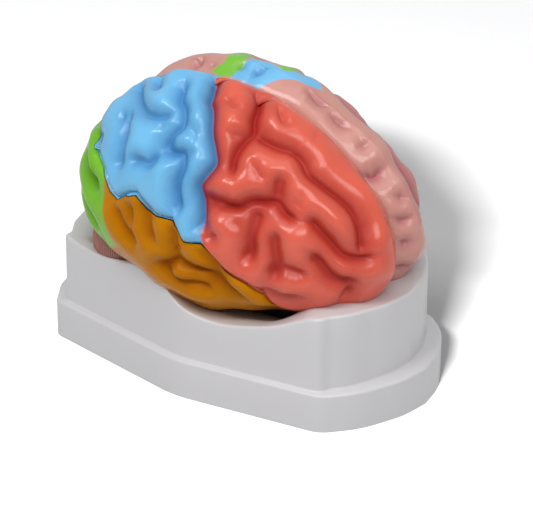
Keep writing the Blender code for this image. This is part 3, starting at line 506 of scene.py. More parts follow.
def furrow_depth(verts, line, depth, half_width):
    """How deep a furrow along a line is at each vertex: a narrow bed between rounded shoulders."""
    steps = np.linalg.norm(np.diff(line, axis=0), axis=1)
    along = np.concatenate([[0], np.cumsum(steps)])
    low, high = line.min(0) - 2 * half_width, line.max(0) + 2 * half_width
    pick = np.nonzero(np.all((verts > low) & (verts < high), axis=1))[0]
    v = verts[pick]
    best, where = np.full(len(v), 1e9), np.zeros(len(v))
    for a, b, start, size in zip(line[:-1], line[1:], along[:-1], steps):
        t = np.clip((v - a) @ (b - a) / max(size ** 2, 1e-9), 0, 1)
        d = np.linalg.norm(v - a - t[:, None] * (b - a), axis=1)
        closer = d < best
        best = np.where(closer, d, best)
        where = np.where(closer, start + t * size, where)
    ends = np.minimum(where, along[-1] - where) / FURROW_ENDS
    run_out = np.clip(FURROW_END_SHARE + (1 - FURROW_END_SHARE) * ends, FURROW_END_SHARE, 1)
    off = np.clip((np.hypot(best, FURROW_BED) - FURROW_BED) / (half_width * FURROW_SPREAD), 0, 1)
    out = np.zeros(len(verts))
    out[pick] = depth * FURROW_DEEPEN * run_out * (1 - (1 - (1 - off) ** ROUNDNESS) ** (1 / ROUNDNESS))
    return out


def evened(values, edges, passes):
    """Average the value of each point with its neighbours', several times over."""
    first, second = edges.T
    count = len(values)
    shared = np.bincount(first, minlength=count) + np.bincount(second, minlength=count)
    for _ in range(passes):
        total = np.bincount(first, values[second], count) + np.bincount(second, values[first], count)
        values = (values + total / shared) / 2
    return values


def broad_lumps(verts, count, seed):
    """An even mix of long waves through space, between about -1 and 1."""
    chance = np.random.default_rng(seed)
    total = np.zeros(len(verts))
    for _ in range(count):
        way = chance.normal(size=3)
        way *= 2 * math.pi / chance.uniform(*LUMP_LENGTHS) / np.linalg.norm(way)
        total += np.sin(verts @ way + chance.uniform(0, 2 * math.pi))
    return total / math.sqrt(count)


def seam_height(y, out=HALF_WIDTH):
    """Height of the seam at a place along the brain and a distance out from the midline."""
    rows = np.array([row for row in SEAM if row[0] <= SEAM_TURN], float)
    side = np.interp(y, rows[:, 0], rows[:, 1])
    middle = np.interp(y, rows[:, 0], rows[:, 2])
    return middle + (side - middle) * (out - SEAM_FLAT) / (HALF_WIDTH - SEAM_FLAT)


def even_grid(cells):
    """An even grid over one half's skin, as tilt and angle in degrees."""
    s = np.linspace(-1, 1, cells + 1)
    u, v = np.meshgrid(s, s, indexing="ij")
    steep = np.abs(v) > np.abs(u)
    reach = np.where(steep, v, u)
    safe = np.where(reach == 0, 1.0, reach)
    turn = np.where(steep, 90 - 45 * u / safe, 45 * v / safe)
    return np.abs(reach) * EDGE_TILT, turn + np.where(reach < 0, 180.0, 0.0)


def grid_mesh(cells, rings):
    """The closed grid of one half: points, faces and the chart place of each point."""
    tilt, angle = even_grid(cells)
    skin = half_surface(tilt, angle).reshape(-1, 3)
    index = np.arange((cells + 1) ** 2).reshape(cells + 1, cells + 1)
    quads = np.stack([index[:-1, :-1], index[1:, :-1], index[1:, 1:], index[:-1, 1:]], -1).reshape(-1, 4)
    edge = np.concatenate([index[:-1, 0], index[-1, :-1], index[:0:-1, -1], index[0, :0:-1]])
    middle = np.array((MIDLINE_GAP / 2, CENTRE_Y, CENTRE_Z))
    shares = np.linspace(1, 0.02, rings + 1)[1:]
    face = [middle + (skin[edge] - middle) * share for share in shares]
    tilts = [tilt.ravel()] + [np.full(len(edge), FACE_TILT - (FACE_TILT - EDGE_TILT) * s) for s in shares]
    angles = [angle.ravel()] + [angle.ravel()[edge]] * rings
    loops = [edge] + [len(skin) + k * len(edge) + np.arange(len(edge)) for k in range(rings)]
    for near, far in zip(loops[:-1], loops[1:]):
        quads = np.vstack([quads, np.stack([near, np.roll(near, -1), np.roll(far, -1), far], -1)])
    faces = quads.tolist() + [loops[-1].tolist()]
    tilt, angle = np.concatenate(tilts), np.radians(np.concatenate(angles))
    return np.vstack([skin, *face]), faces, np.stack([tilt * np.cos(angle), tilt * np.sin(angle)], -1)


def new_piece(name, verts, faces, material=None):
    mesh = bpy.data.meshes.new(name)
    mesh.from_pydata((np.asarray(verts, float) * MM).tolist(), [], faces)
    mesh.update()
    return add_mesh(name, mesh, material)


def set_material(mesh, material):
    mesh.materials.clear()
    mesh.materials.append(material)


def mesh_from(name, bm):
    """Turn a bmesh into a mesh and free it."""
    mesh = bpy.data.meshes.new(name)
    bm.to_mesh(mesh)
    bm.free()
    return mesh


def add_mesh(name, mesh, material=None):
    if material is not None:
        set_material(mesh, material)
    obj = bpy.data.objects.new(name, mesh)
    bpy.context.scene.collection.objects.link(obj)
    return obj


def face_outward(obj, merge=True, split=False):
    """Turn a closed mesh's faces outward; merge joins its doubles first, split makes triangles."""
    bm = bmesh.new()
    bm.from_mesh(obj.data)
    if merge:
        bmesh.ops.remove_doubles(bm, verts=bm.verts, dist=DOUBLE_DISTANCE)
    bmesh.ops.recalc_face_normals(bm, faces=bm.faces)
    if split:
        bmesh.ops.triangulate(bm, faces=bm.faces, quad_method="FIXED", ngon_method="EAR_CLIP")
    bm.to_mesh(obj.data)
    bm.free()


def read_points(mesh, what="co", of="vertices"):
    values = np.empty(len(getattr(mesh, of)) * 3, np.float32)
    getattr(mesh, of).foreach_get(what, values)
    return values.reshape(-1, 3).astype(float)


def write_points(mesh, points):
    mesh.vertices.foreach_set("co", (points * MM).astype(np.float32).ravel())
    mesh.update()


def ring_faces(rings, count, closed_start=True, closed_end=True):
    faces = []
    for r in range(rings - 1):
        for s in range(count):
            a, b = r * count + s, r * count + (s + 1) % count
            faces.append((a, b, b + count, a + count))
    if closed_start:
        faces.append(tuple(range(count))[::-1])
    if closed_end:
        faces.append(tuple((rings - 1) * count + s for s in range(count)))
    return faces


def soft_inside(points, outline, soft):
    """1 inside a closed outline of the chart and 0 outside it, with a soft edge in degrees."""
    a = np.array(outline, float)
    near = np.full(len(points), 1e9)
    inside = np.zeros(len(points), bool)
    for p, q in zip(a, np.roll(a, -1, 0)):
        edge = q - p
        t = np.clip((points - p) @ edge / max(edge @ edge, 1e-9), 0, 1)
        near = np.minimum(near, np.linalg.norm(points - p - t[:, None] * edge, axis=1))
        if p[1] != q[1]:
            crosses = (p[1] > points[:, 1]) != (q[1] > points[:, 1])
            at = edge[0] * (points[:, 1] - p[1]) / edge[1] + p[0]
            inside ^= crosses & (points[:, 0] < at)
    t = np.clip(np.where(inside, near, -near) / soft + 0.5, 0, 1)
    return t * t * (3 - 2 * t)


def sculpt_half(name, side, relief):
    """One whole half with its folds, and the masks of its points for the paint and for the furrows' painted
    shade.
    """
    base, faces, chart = grid_mesh(relief.cells, FACE_RINGS)
    obj = new_piece(name, base * (side, 1, 1), faces)
    face_outward(obj, merge=False)
    normals = read_points(obj.data, "vector", "vertex_normals")
    kept = np.ones(len(base))
    for depth, half_width, line in furrow_lines(side):
        share = furrow_depth(base, line, depth, half_width) / FURROW_LIMIT
        kept *= 1 - np.minimum(share, FURROW_MOST)
    edges = np.array([edge.vertices[:] for edge in obj.data.edges])
    sunk = evened(FURROW_LIMIT * (1 - kept), edges, EVEN_PASSES)
    above = base[:, 2] - seam_height(base[:, 1])
    on_skin = (base[:, 0] > CREST_OFFSET) & (base[:, 1] < SEAM_TURN - 2)
    lip = np.exp(-(np.abs(above) / LIP_SPREAD) ** LIP_POWER) * relief.seam_round / MM
    lip = lip + (above < 0) * relief.seam_step / MM * np.exp(np.minimum(above, 0) / STEP_FADE)
    swell = relief.swell / MM * np.clip((base[:, 0] - MIDLINE_GAP / 2) / CREST_OFFSET, 0, 1)
    lumps = broad_lumps(base, LUMP_WAVES, LUMP_SEED + side)
    uneven = relief.lumps / MM * lumps * np.clip(base[:, 0] / LUMP_FADE, 0, 1)
    down = sunk + np.where(on_skin, lip, 0) - swell - uneven
    moved = base * (side, 1, 1) - normals * down[:, None]
    moved[:, 0] = side * np.maximum(moved[:, 0] * side, MIDLINE_GAP / 2)
    write_points(obj.data, moved)
    # the furrow depth mask drives the painted shade in the furrows, and the mauve paint of the left half
    masks = {"sunk": np.clip(sunk / (SUNK_FULL_RIGHT if side < 0 else SUNK_FULL_LEFT), 0, 1)}
    if side < 0:
        central = smooth_through(FURROWS["central"][2], LINE_STEPS)[::-1].tolist()
        masks["parietal"] = soft_inside(chart, central + PARIETAL_BACK, PARIETAL_EDGE)
        masks["occipital"] = soft_inside(chart, OCCIPITAL_FIELD, OCCIPITAL_EDGE)
    else:
        for mask, outlines in (("parietal", LEFT_BLUE), ("occipital", LEFT_GREEN)):
            masks[mask] = np.max([soft_inside(chart, outline, LEFT_EDGE) for outline in outlines], axis=0)
    return obj, masks


def carry_masks(obj, points, masks):
    """Give a cut moulding the masks of the whole half, from its nearest points."""
    tree = kdtree.KDTree(len(points))
    for k, p in enumerate(points):
        tree.insert(p, k)
    tree.balance()
    verts = read_points(obj.data)
    found = [tree.find(v) for v in verts]
    near = np.array([f[1] for f in found])
    far = np.array([f[2] for f in found]) / MM
    for name, values in masks.items():
        carried = values[near]
        if name == "sunk":
            carried = carried * np.clip(MASK_REACH - far, 0, 1)
        layer = obj.data.attributes.new(name, "FLOAT", "POINT")
        layer.data.foreach_set("value", carried.astype(np.float32))


def evaluated_mesh(obj):
    """The mesh that an object's modifiers make."""
    return bpy.data.meshes.new_from_object(obj.evaluated_get(bpy.context.evaluated_depsgraph_get()))


def cut(obj, cutter, operation="DIFFERENCE"):
    """Cut a closed mesh and keep the result as a plain mesh."""
    mod = obj.modifiers.new("cut", "BOOLEAN")
    mod.object = cutter
    mod.operation = operation
    mod.solver = "MANIFOLD"
    done = evaluated_mesh(obj)
    if len(done.polygons) == len(obj.data.polygons):
        raise RuntimeError(cutter.name + " does not cut " + obj.name)
    obj.modifiers.clear()
    old = obj.data
    obj.data = done
    bpy.data.meshes.remove(old)


def shade(obj, angle):
    obj.data.shade_smooth()
    obj.data.set_sharp_from_angle(angle=math.radians(angle))


def apply_modifiers(obj):
    done = evaluated_mesh(obj)
    obj.modifiers.clear()
    obj.data = done


def drop(*objects):
    for obj in objects:
        bpy.data.objects.remove(obj, do_unlink=True)


def seam_cutter(name, gap):
    """Everything under the seam, moved down and back by a gap."""
    rows = []
    for x in (-90, -HALF_WIDTH, -SEAM_FLAT, SEAM_FLAT, HALF_WIDTH, 90):
        row = [(y, middle if abs(x) == SEAM_FLAT else side) for y, side, middle in SEAM]
        row += [(130, row[-1][1]), (130, -20), (row[0][0], -20)]
        rows += [(x, y + gap[0], z - gap[1]) for y, z in row]
    obj = new_piece(name, rows, ring_faces(6, len(SEAM) + 3))
    face_outward(obj, split=True)
    return obj


def rim_height(y):
    line = smooth_through(RIM_HEIGHT, 6)
    return np.interp(y, line[:, 0], line[:, 1])


def plan_ring(spokes, inset_side, inset_end):
    """The stand's plan, set in by one distance at its sides and another at its ends."""
    w, l = STAND_HALF_WIDTH, STAND_HALF_LENGTH
    # Corners of the left half's plan as (x, y, radius)
    corners = [(-0.3 * w, -l + 2.6, 50), (-0.7 * w, -l + 13.0, 50), (-w + 3.0, -l + 27.5, 14), (-w, 4.0, 60),
               (-0.55 * w, l - 13.0, 9), (-0.24 * w, l - 3.6, 30)]
    points = [np.array((0.0, -l))] + [np.array(c[:2]) for c in corners] + [np.array((0.0, l))]
    out = [points[0]]
    for before, here, after, (_, _, radius) in zip(points[:-2], points[1:-1], points[2:], corners):
        a, b = before - here, after - here
        half = min(np.linalg.norm(a), np.linalg.norm(b)) * CORNER_SHARE
        corner = math.acos(np.clip(a @ b / np.linalg.norm(a) / np.linalg.norm(b), -1, 1))
        back = min(radius / math.tan(corner / 2), half)
        start, end = here + a / np.linalg.norm(a) * back, here + b / np.linalg.norm(b) * back
        for t in np.linspace(0, 1, 13):
            out.append((1 - t) ** 2 * start + 2 * t * (1 - t) * here + t * t * end)
    half = np.array(out + [points[-1]])
    loop = np.vstack([half, half[-2:0:-1] * (-1, 1), half[:1]])
    along = np.concatenate([[0], np.cumsum(np.linalg.norm(np.diff(loop, axis=0), axis=1))])
    at = np.arange(spokes) / spokes * along[-1]
    ring = np.stack([np.interp(at, along, loop[:, k]) for k in range(2)], -1)
    run = np.roll(ring, -1, 0) - np.roll(ring, 1, 0)
    normal = np.stack([run[:, 1], -run[:, 0]], -1) / np.linalg.norm(run, axis=1)[:, None]
    if (ring * normal).sum() < 0:
        normal = -normal
    for _ in range(6):
        normal = normal + (np.roll(normal, 1, 0) + np.roll(normal, -1, 0))
        normal /= np.linalg.norm(normal, axis=1)[:, None]
    inset = inset_side + (inset_end - inset_side) * normal[:, 1:] ** 2
    return ring - inset * normal


def bowl_rings(spokes, edge, rise):
    """Rings of the bowl from the rim's inner edge to the floor, raised by a distance."""
    wall = plan_ring(spokes, SIDE_LEDGE, END_LEDGE)
    rim = rim_height(wall[:, 1])
    spine = np.stack([np.zeros(spokes), np.clip(wall[:, 1], -SPINE_HALF_LENGTH, SPINE_HALF_LENGTH)], -1)
    reach = STAND_HALF_WIDTH - SIDE_LEDGE
    front = np.interp(-wall[:, 1], FRONT_SLOPE_PLACES, (0, 1))
    depths, of_rim, of_seat, of_floor = smooth_through([(edge, 1, 0, 0)] + BOWL, 5).T
    rings = []
    for depth in depths:
        inset = min(depth, BOWL_SEAT)
        ring = wall + (spine - wall) * inset / reach
        ring = ring * (1 - (depth - inset) / (STAND_HALF_WIDTH - BOWL_SEAT))
        late = np.clip((depth - FRONT_SLOPE_HOLD) / (depths[-1] - FRONT_SLOPE_HOLD), 0, 1)
        at = depth * (1 - front * (1 - 1 / FRONT_SLOPE) * (1 - late * late * (3 - 2 * late)))
        height = np.interp(at, depths, of_rim) * rim + np.interp(at, depths, of_floor) * BOWL_FLOOR
        height = height + np.interp(at, depths, of_seat) * np.minimum(SEAT_LEVEL, rim)
        rings.append(np.column_stack([ring, height + rise]))
    return rings


def stand_room():
    """The space that the stand takes, for trimming what rests in the bowl."""
    sizes = bpy.context.scene.brain_stand
    spokes, edge = sizes.spokes // 2, sizes.edge_round / MM
    out = plan_ring(spokes, SIDE_LEDGE - SEAT_GAP, END_LEDGE - SEAT_GAP)
    rim = rim_height(plan_ring(spokes, SIDE_LEDGE, END_LEDGE)[:, 1]) + SEAT_GAP
    rings = [np.column_stack([out, np.full(spokes, -10.0)]), np.column_stack([out, rim])]
    rings += bowl_rings(spokes, edge, SEAT_GAP)
    obj = new_piece("stand_room", np.vstack(rings), ring_faces(len(rings), spokes))
    face_outward(obj, split=True)
    return obj


def stem_room(name, side):
    """The passage of the brain stem with its clearance, past the midline and open at both ends."""
    rings = []
    for z, y, width, depth in STEM_SECTIONS:
        turn = np.radians(np.linspace(-90, 90, 25))
        x = MIDLINE_GAP / 2 + (width + STEM_CLEARANCE) * np.cos(turn)
        ring = np.stack([side * x, y + (depth + STEM_CLEARANCE) * np.sin(turn), np.full(25, float(z))], -1)
        ring[[0, -1], 0] = -side * 6
        rings.append(ring)
    rings[0][:, 2] -= 20
    rings[-1][:, 2] += 20
    obj = new_piece(name, np.vstack(rings), ring_faces(len(rings), 25))
    face_outward(obj, split=True)
    return obj


def round_bar(name, spot, length, radius, axis):
    """A round cutter centred on a spot, along Z or along X."""
    bm = bmesh.new()
    bmesh.ops.create_cone(bm, cap_ends=True, segments=32, radius1=radius * MM, radius2=radius * MM,
                          depth=length * MM)
    if axis == "X":
        bmesh.ops.rotate(bm, verts=bm.verts, matrix=Matrix.Rotation(math.pi / 2, 3, "Y"))
    bmesh.ops.translate(bm, verts=bm.verts, vec=Vector(spot) * MM)
    return add_mesh(name, mesh_from(name, bm))


def ball(name, centre, radii):
    bm = bmesh.new()
    bmesh.ops.create_uvsphere(bm, u_segments=64, v_segments=32, radius=1.0)
    for v in bm.verts:
        v.co = [(c + r * k) * MM for c, r, k in zip(centre, radii, v.co)]
    return add_mesh(name, mesh_from(name, bm))


def pin_holes(name, side):
    """Cutters for the holes of a half: upright ones at the seam and level ones at the midline."""
    radius = bpy.context.scene.brain_small.pin_radius / MM + PIN_CLEARANCE
    upright = [round_bar(name + "_upright", (side * x, y, seam_height(y, x)), LOBE_PIN_LENGTH + 1,
                         radius, "Z") for x, y in LOBE_PINS]
    level = [round_bar(name + "_level", (0, y, z), MIDLINE_PIN_LENGTH + 1, radius, "X")
             for y, z in MIDLINE_PINS]
    return upright, level


def geometry_tree(name, sizes):
    """An empty geometry tree with a geometry in and out and named number inputs."""
    tree = bpy.data.node_groups.new(name, "GeometryNodeTree")
    tree.interface.new_socket(name="Geometry", in_out="INPUT", socket_type="NodeSocketGeometry")
    sockets = {}
    for label, kind, value in sizes:
        socket = tree.interface.new_socket(name=label, in_out="INPUT", socket_type=kind)
        socket.default_value = value
        sockets[label] = socket.identifier
    tree.interface.new_socket(name="Geometry", in_out="OUTPUT", socket_type="NodeSocketGeometry")
    graph = Graph(tree)
    entry = tree.nodes.new("NodeGroupInput")
    return tree, graph, {s.name: Wire(graph, s) for s in entry.outputs if s.name}, sockets


def close_tree(graph, geometry, material):
    real = graph.add("GeometryNodeRealizeInstances", None, {"Geometry": geometry})
    done = graph.add("GeometryNodeSetMaterial", None, {"Geometry": real, "Material": material})
    graph.add("NodeGroupOutput", None, {"Geometry": done})


def run_tree(obj, tree, sockets, values):
    """Run a geometry tree on an object and keep the plain mesh."""
    mod = obj.modifiers.new("tree", "NODES")
    mod.node_group = tree
    for label, value in values.items():
        mod[sockets[label]] = value
    apply_modifiers(obj)


def pin_tree(material):
    """A pin with rounded ends on every point, turned to the point's own direction."""
    sizes = [("Radius", "NodeSocketFloat", 0.002)]
    tree, graph, given, sockets = geometry_tree("pins", sizes)
    line = graph.add("GeometryNodeCurvePrimitiveLine", None, {"Start": (0, 0, -0.5), "End": (0, 0, 0.5)})
    fine = graph.add("GeometryNodeResampleCurve", None, {"Curve": line, "Count": 49})
    share = graph.add("GeometryNodeSplineParameter")
    near_end = 0.5 - (share - 0.5).absolute()
    rounding = 1 - (1 - near_end * 16.0).at_least(0.0) ** 2.0
    width = rounding.at_least(0.02) ** 0.5
    shaped = graph.add("GeometryNodeSetCurveRadius", None, {"Curve": fine, "Radius": width})
    profile = graph.add("GeometryNodeCurvePrimitiveCircle", None, {"Resolution": 32, "Radius": 1.0})
    bar = graph.add("GeometryNodeCurveToMesh", None,
                    {"Curve": shaped, "Profile Curve": profile, "Fill Caps": True})
    way = graph.add("GeometryNodeInputNamedAttribute", {"data_type": "FLOAT_VECTOR"}, {"Name": "way"})
    length = graph.add("GeometryNodeInputNamedAttribute", {"data_type": "FLOAT"}, {"Name": "length"})
    turn = graph.add("FunctionNodeAlignRotationToVector", {"axis": "Z"}, {"Vector": way})
    size = graph.add("ShaderNodeCombineXYZ", None, {0: given["Radius"], 1: given["Radius"], 2: length})
    bars = graph.add("GeometryNodeInstanceOnPoints", None,
                     {"Points": given["Geometry"], "Instance": bar, "Rotation": turn, "Scale": size})
    close_tree(graph, bars, material)
    return tree, sockets


def leaf_tree(material):
    """Fine leaves over a ball, running from its top to its bottom."""
    sizes = [("Leaves", "NodeSocketInt", 110), ("Height", "NodeSocketFloat", 0.0005)]
    tree, graph, given, sockets = geometry_tree("cerebellum_leaves", sizes)
    place = graph.add("GeometryNodeInputPosition")
    parts = graph.add("ShaderNodeSeparateXYZ", None, {0: place})
    x, y, z = (parts.beside(k) for k in range(3))
    wander = (z * 2.2 + 0.6).sine() * 0.05
    wave = (y.math("ARCTAN2", y, x) + wander) * given["Leaves"] * 0.5
    fold = wave.sine().absolute()
    flat = (1 - z * z).at_least(0.0) ** 0.5
    lift = fold * given["Height"] * flat
    offset = graph.add("ShaderNodeVectorMath", {"operation": "SCALE"}, {0: place, 3: lift})
    # sunk marks the valleys between the leaves, for the cerebellum's painted shade
    marked = graph.add("GeometryNodeStoreNamedAttribute", {"data_type": "FLOAT", "domain": "POINT"},
                       {"Geometry": given["Geometry"], "Name": "sunk", "Value": 1 - fold})
    moved = graph.add("GeometryNodeSetPosition", None, {"Geometry": marked, "Offset": offset})
    close_tree(graph, moved, material)
    return tree, sockets


class BRAIN_OT_stand(bpy.types.Operator):
    """Build the white moulded stand with its plinth, wavy rim and bowl"""
    bl_idname = "brain_model.stand"
    bl_label = "Add the stand"

    def execute(self, context):
        sizes = context.scene.brain_stand
        spokes, edge, foot = sizes.spokes, sizes.edge_round / MM, sizes.foot_round / MM
        bend = np.radians(np.linspace(0, 90, BEND_STEPS))
        wall = plan_ring(spokes, SIDE_LEDGE, END_LEDGE)
        rim = rim_height(wall[:, 1])
        flat = np.zeros(spokes)
        rings = [(plan_ring(spokes, 0, 0), flat), (plan_ring(spokes, 0, 0), flat + 6)]
        for t in bend:
            inset = edge * (1 - math.cos(t))
            rings.append((plan_ring(spokes, inset, inset), flat + PLINTH_HEIGHT - edge + edge * math.sin(t)))
        for t in bend:
            inset = foot * (1 - math.sin(t))
            rings.append((plan_ring(spokes, SIDE_LEDGE - inset, END_LEDGE - inset),
                          flat + PLINTH_HEIGHT + foot * (1 - math.cos(t))))
        for share in (0.25, 0.5, 0.75):
            rings.append((wall, PLINTH_HEIGHT + foot + (rim - edge - PLINTH_HEIGHT - foot) * share))
        for t in bend[:-1]:
            inset = edge * (1 - math.cos(t))
            rings.append((plan_ring(spokes, SIDE_LEDGE + inset, END_LEDGE + inset),
                          rim - edge + edge * math.sin(t)))
        verts = [np.column_stack(r) for r in rings] + bowl_rings(spokes, edge, 0.0)
        obj = new_piece("moulded_stand", np.vstack(verts), ring_faces(len(verts), spokes, False))
        face_outward(obj)
        shell = obj.modifiers.new("shell", "SOLIDIFY")
        shell.thickness = WALL * MM
        shell.offset = -1
        apply_modifiers(obj)
        set_material(obj.data, stand_plastic())
        shade(obj, 50)
        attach(obj, ROOT_BODY)
        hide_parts("stand")
        return {"FINISHED"}


def stand_plastic():
    paint = bpy.context.scene.brain_paint
    material, graph = finish_graph("white_plastic")
    cloud = noise(graph, 30.0, 2.0)
    colour = graph.blend((cloud - 0.4) * 0.5, opaque(paint.white), opaque(paint.white, 0.94))
    rough = 0.34 + (noise(graph, 140.0, 3.0) - 0.5) * 0.08
    bump = bump_from(graph, noise(graph, 1500.0, 1.0), 0.06, 0.0002)
    surface(graph, colour, rough, bump, {"IOR": 1.46, "Coat Weight": 0.15, "Coat Roughness": 0.2})
    return material


class BRAIN_OT_halves(bpy.types.Operator):
    """Sculpt, cut and paint the upper and the lower moulding of both halves"""
    bl_idname = "brain_model.halves"
    bl_label = "Add the mouldings"

    def execute(self, context):
        scene = context.scene
        relief, paint = scene.brain_relief, scene.brain_paint
        room = stand_room()
        over, under = seam_cutter("seam_above", (0, 0)), seam_cutter("seam_below", SEAM_GAP)
        # each paint goes with its painted shade for the furrows
        coral, ochre = (paint.coral, CORAL_SHADE), (paint.ochre, OCHRE_SHADE)
        sky, lime = ("parietal", (paint.sky, SKY_SHADE)), ("occipital", (paint.lime, LIME_SHADE))
        left = painted("left_half_paint", (paint.flesh, paint.mauve), [sky, lime], CLEAR_SHINE, PAINT_COAT)
        paints = {
            "right": (painted("coral_and_sky_paint", coral, [sky], CLEAR_SHINE, PAINT_COAT),
                      painted("ochre_and_lime_paint", ochre, [lime], WARM_SHINE, 0.0, OCHRE_IOR)),
            "left": (left, left),
        }
        for word, side in (("right", -1), ("left", 1)):
            whole, masks = sculpt_half(word + "_whole", side, relief)
            points = read_points(whole.data)
            upper = add_mesh(word + "_upper_moulding", whole.data.copy(), paints[word][0])
            lower = add_mesh(word + "_lower_moulding", whole.data.copy(), paints[word][1])
            radii = [r + CEREBELLUM_GAP for r in CEREBELLUM_RADII]
            x, y, z = CEREBELLUM_CENTRE
            hollow = ball(word + "_hollow", (side * x, y, z), radii)
            passage = stem_room(word + "_passage", side)
            upright, level = pin_holes(word, side)
            cut(upper, over)
            cut(lower, under, "INTERSECT")
            for cutter in (room, hollow, passage, level[2]):
                cut(lower, cutter)
            for hole in upright:
                cut(upper, hole)
                cut(lower, hole)
            slots = ("right_upper", "right_lower") if side < 0 else ("left_half", "left_half")
            places = ((upper, word + "_frontal_parietal", word + "_upper"),
                      (lower, word + "_temporal_occipital", ROOT_BODY))
            for (obj, node, body), slot, finish in zip(places, slots, paints[word]):
                carry_masks(obj, points, masks)
                set_material(obj.data, finish)
                shade(obj, 60)
                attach(obj, body)
                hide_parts(node)
            drop(whole, hollow, passage, *upright, *level)
        drop(room, over, under)
        return {"FINISHED"}


class BRAIN_OT_cerebellum(bpy.types.Operator):
    """Build both halves of the cerebellum with their fine leaves"""
    bl_idname = "brain_model.cerebellum"
    bl_label = "Add the cerebellum"

    def execute(self, context):
        scene = context.scene
        small = scene.brain_small
        material = cerebellum_paint_and_shade()
        tree, sockets = leaf_tree(material)
        room = stand_room()
        for word, side in (("right", -1), ("left", 1)):
            bm = bmesh.new()
            bmesh.ops.create_uvsphere(bm, u_segments=small.leaves * 6, v_segments=70, radius=1.0)
            name = word + "_cerebellum_lobe"
            obj = add_mesh(name, mesh_from(name, bm))
            inner = min(CEREBELLUM_RADII) * MM
            height = small.leaf_height / inner
            run_tree(obj, tree, sockets, {"Leaves": small.leaves, "Height": height})
            points = read_points(obj.data) * (1 - height)
            points = points * (side * CEREBELLUM_RADII[0], *CEREBELLUM_RADII[1:])
            points = points + np.array(CEREBELLUM_CENTRE) * (side, 1, 1)
            write_points(obj.data, points)
            face_outward(obj, split=True)
            passage = stem_room(word + "_passage", side)
            space = half_space(word + "_space", side)
            upright, level = pin_holes(word, side)
            cut(obj, space, "INTERSECT")
            for cutter in (passage, room, level[1]):
                cut(obj, cutter)
            set_material(obj.data, material)
            shade(obj, 60)
            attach(obj, ROOT_BODY)
            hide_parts(word + "_cerebellum")
            drop(passage, space, *upright, *level)
        drop(room)
        return {"FINISHED"}


def half_space(name, side):
    """A block from just beside the midline past the widest point of one half."""
    inner, outer = MIDLINE_GAP / 2, HALF_WIDTH + 30
    corners = [(side * x, y, z) for z in (-200, 300) for x, y in
               ((inner, -300), (outer, -300), (outer, 300), (inner, 300))]
    obj = new_piece(name, corners, ring_faces(2, 4))
    face_outward(obj)
    return obj


def cerebellum_paint_and_shade():
    paint = bpy.context.scene.brain_paint
    material, graph = finish_graph("umber_paint")
    # leaf tops lighter and the valleys between the leaves darker than the umber: painted light and painted
    # shade
    colour = graph.blend(graph.mask("sunk"), opaque(paint.umber, 1.35), opaque(paint.umber, 0.25))
    rough = 0.42 + (noise(graph, 200.0, 2.0) - 0.5) * 0.1
    bump = bump_from(graph, noise(graph, 700.0, 2.0), 0.15, 0.0004)
    surface(graph, colour, rough, bump, {"IOR": 1.48, "Coat Weight": 0.1, "Coat Roughness": 0.25})
    return material


class BRAIN_OT_stem(bpy.types.Operator):
    """Give the two halves of the brain stem their ivory paint"""
    bl_idname = "brain_model.stem"
    bl_label = "Paint the brain stem"

    def execute(self, context):
        paint = context.scene.brain_paint
        material, graph = finish_graph("ivory_paint")
        cloud = noise(graph, 120.0, 3.0)
        colour = graph.blend(cloud, opaque(paint.ivory), opaque(paint.ivory, 0.8))
        rough = 0.4 + (noise(graph, 300.0, 2.0) - 0.5) * 0.1
        bump = bump_from(graph, noise(graph, 600.0, 2.0), 0.2, 0.0004)
        surface(graph, colour, rough, bump, {"IOR": 1.48, "Coat Weight": 0.1})
        for word in ("right", "left"):
            set_material(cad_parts[word + "_brainstem"].data, material)
        return {"FINISHED"}


class BRAIN_OT_pins(bpy.types.Operator):
    """Build the steel pins that join the mouldings"""
    bl_idname = "brain_model.pins"
    bl_label = "Add the pins"

    def execute(self, context):
        material, graph = finish_graph("turned_steel")
        streak = noise(graph, 900.0, 2.0)
        rough = 0.22 + streak * 0.16
        bump = bump_from(graph, streak, 0.05, 0.0002)
        surface(graph, graph.blend(streak, (0.56, 0.56, 0.58, 1.0), (0.46, 0.46, 0.48, 1.0)), rough,
                bump, {"Metallic": 1.0})
        spots = [(side * x, y, float(seam_height(y, x))) for side in (-1, 1) for x, y in LOBE_PINS]
        ways = [(0, 0, 1)] * len(spots) + [(1, 0, 0)] * len(MIDLINE_PINS)
        lengths = [LOBE_PIN_LENGTH * MM] * len(spots) + [MIDLINE_PIN_LENGTH * MM] * len(MIDLINE_PINS)
        spots += [(0, y, z) for y, z in MIDLINE_PINS]
        obj = new_piece("steel_pins", spots, [])
        way = obj.data.attributes.new("way", "FLOAT_VECTOR", "POINT")
        way.data.foreach_set("vector", np.array(ways, np.float32).ravel())
        length = obj.data.attributes.new("length", "FLOAT", "POINT")
        length.data.foreach_set("value", np.array(lengths, np.float32))
        tree, sockets = pin_tree(material)
        run_tree(obj, tree, sockets, {"Radius": context.scene.brain_small.pin_radius})
        face_outward(obj)
        shade(obj, 40)
        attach(obj, ROOT_BODY)
        held = ["right_front_pin", "right_rear_pin", "left_front_pin", "left_rear_pin"]
        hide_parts(*held, "brainstem_pin", "cerebellum_pin", "temporal_occipital_pin")
        return {"FINISHED"}


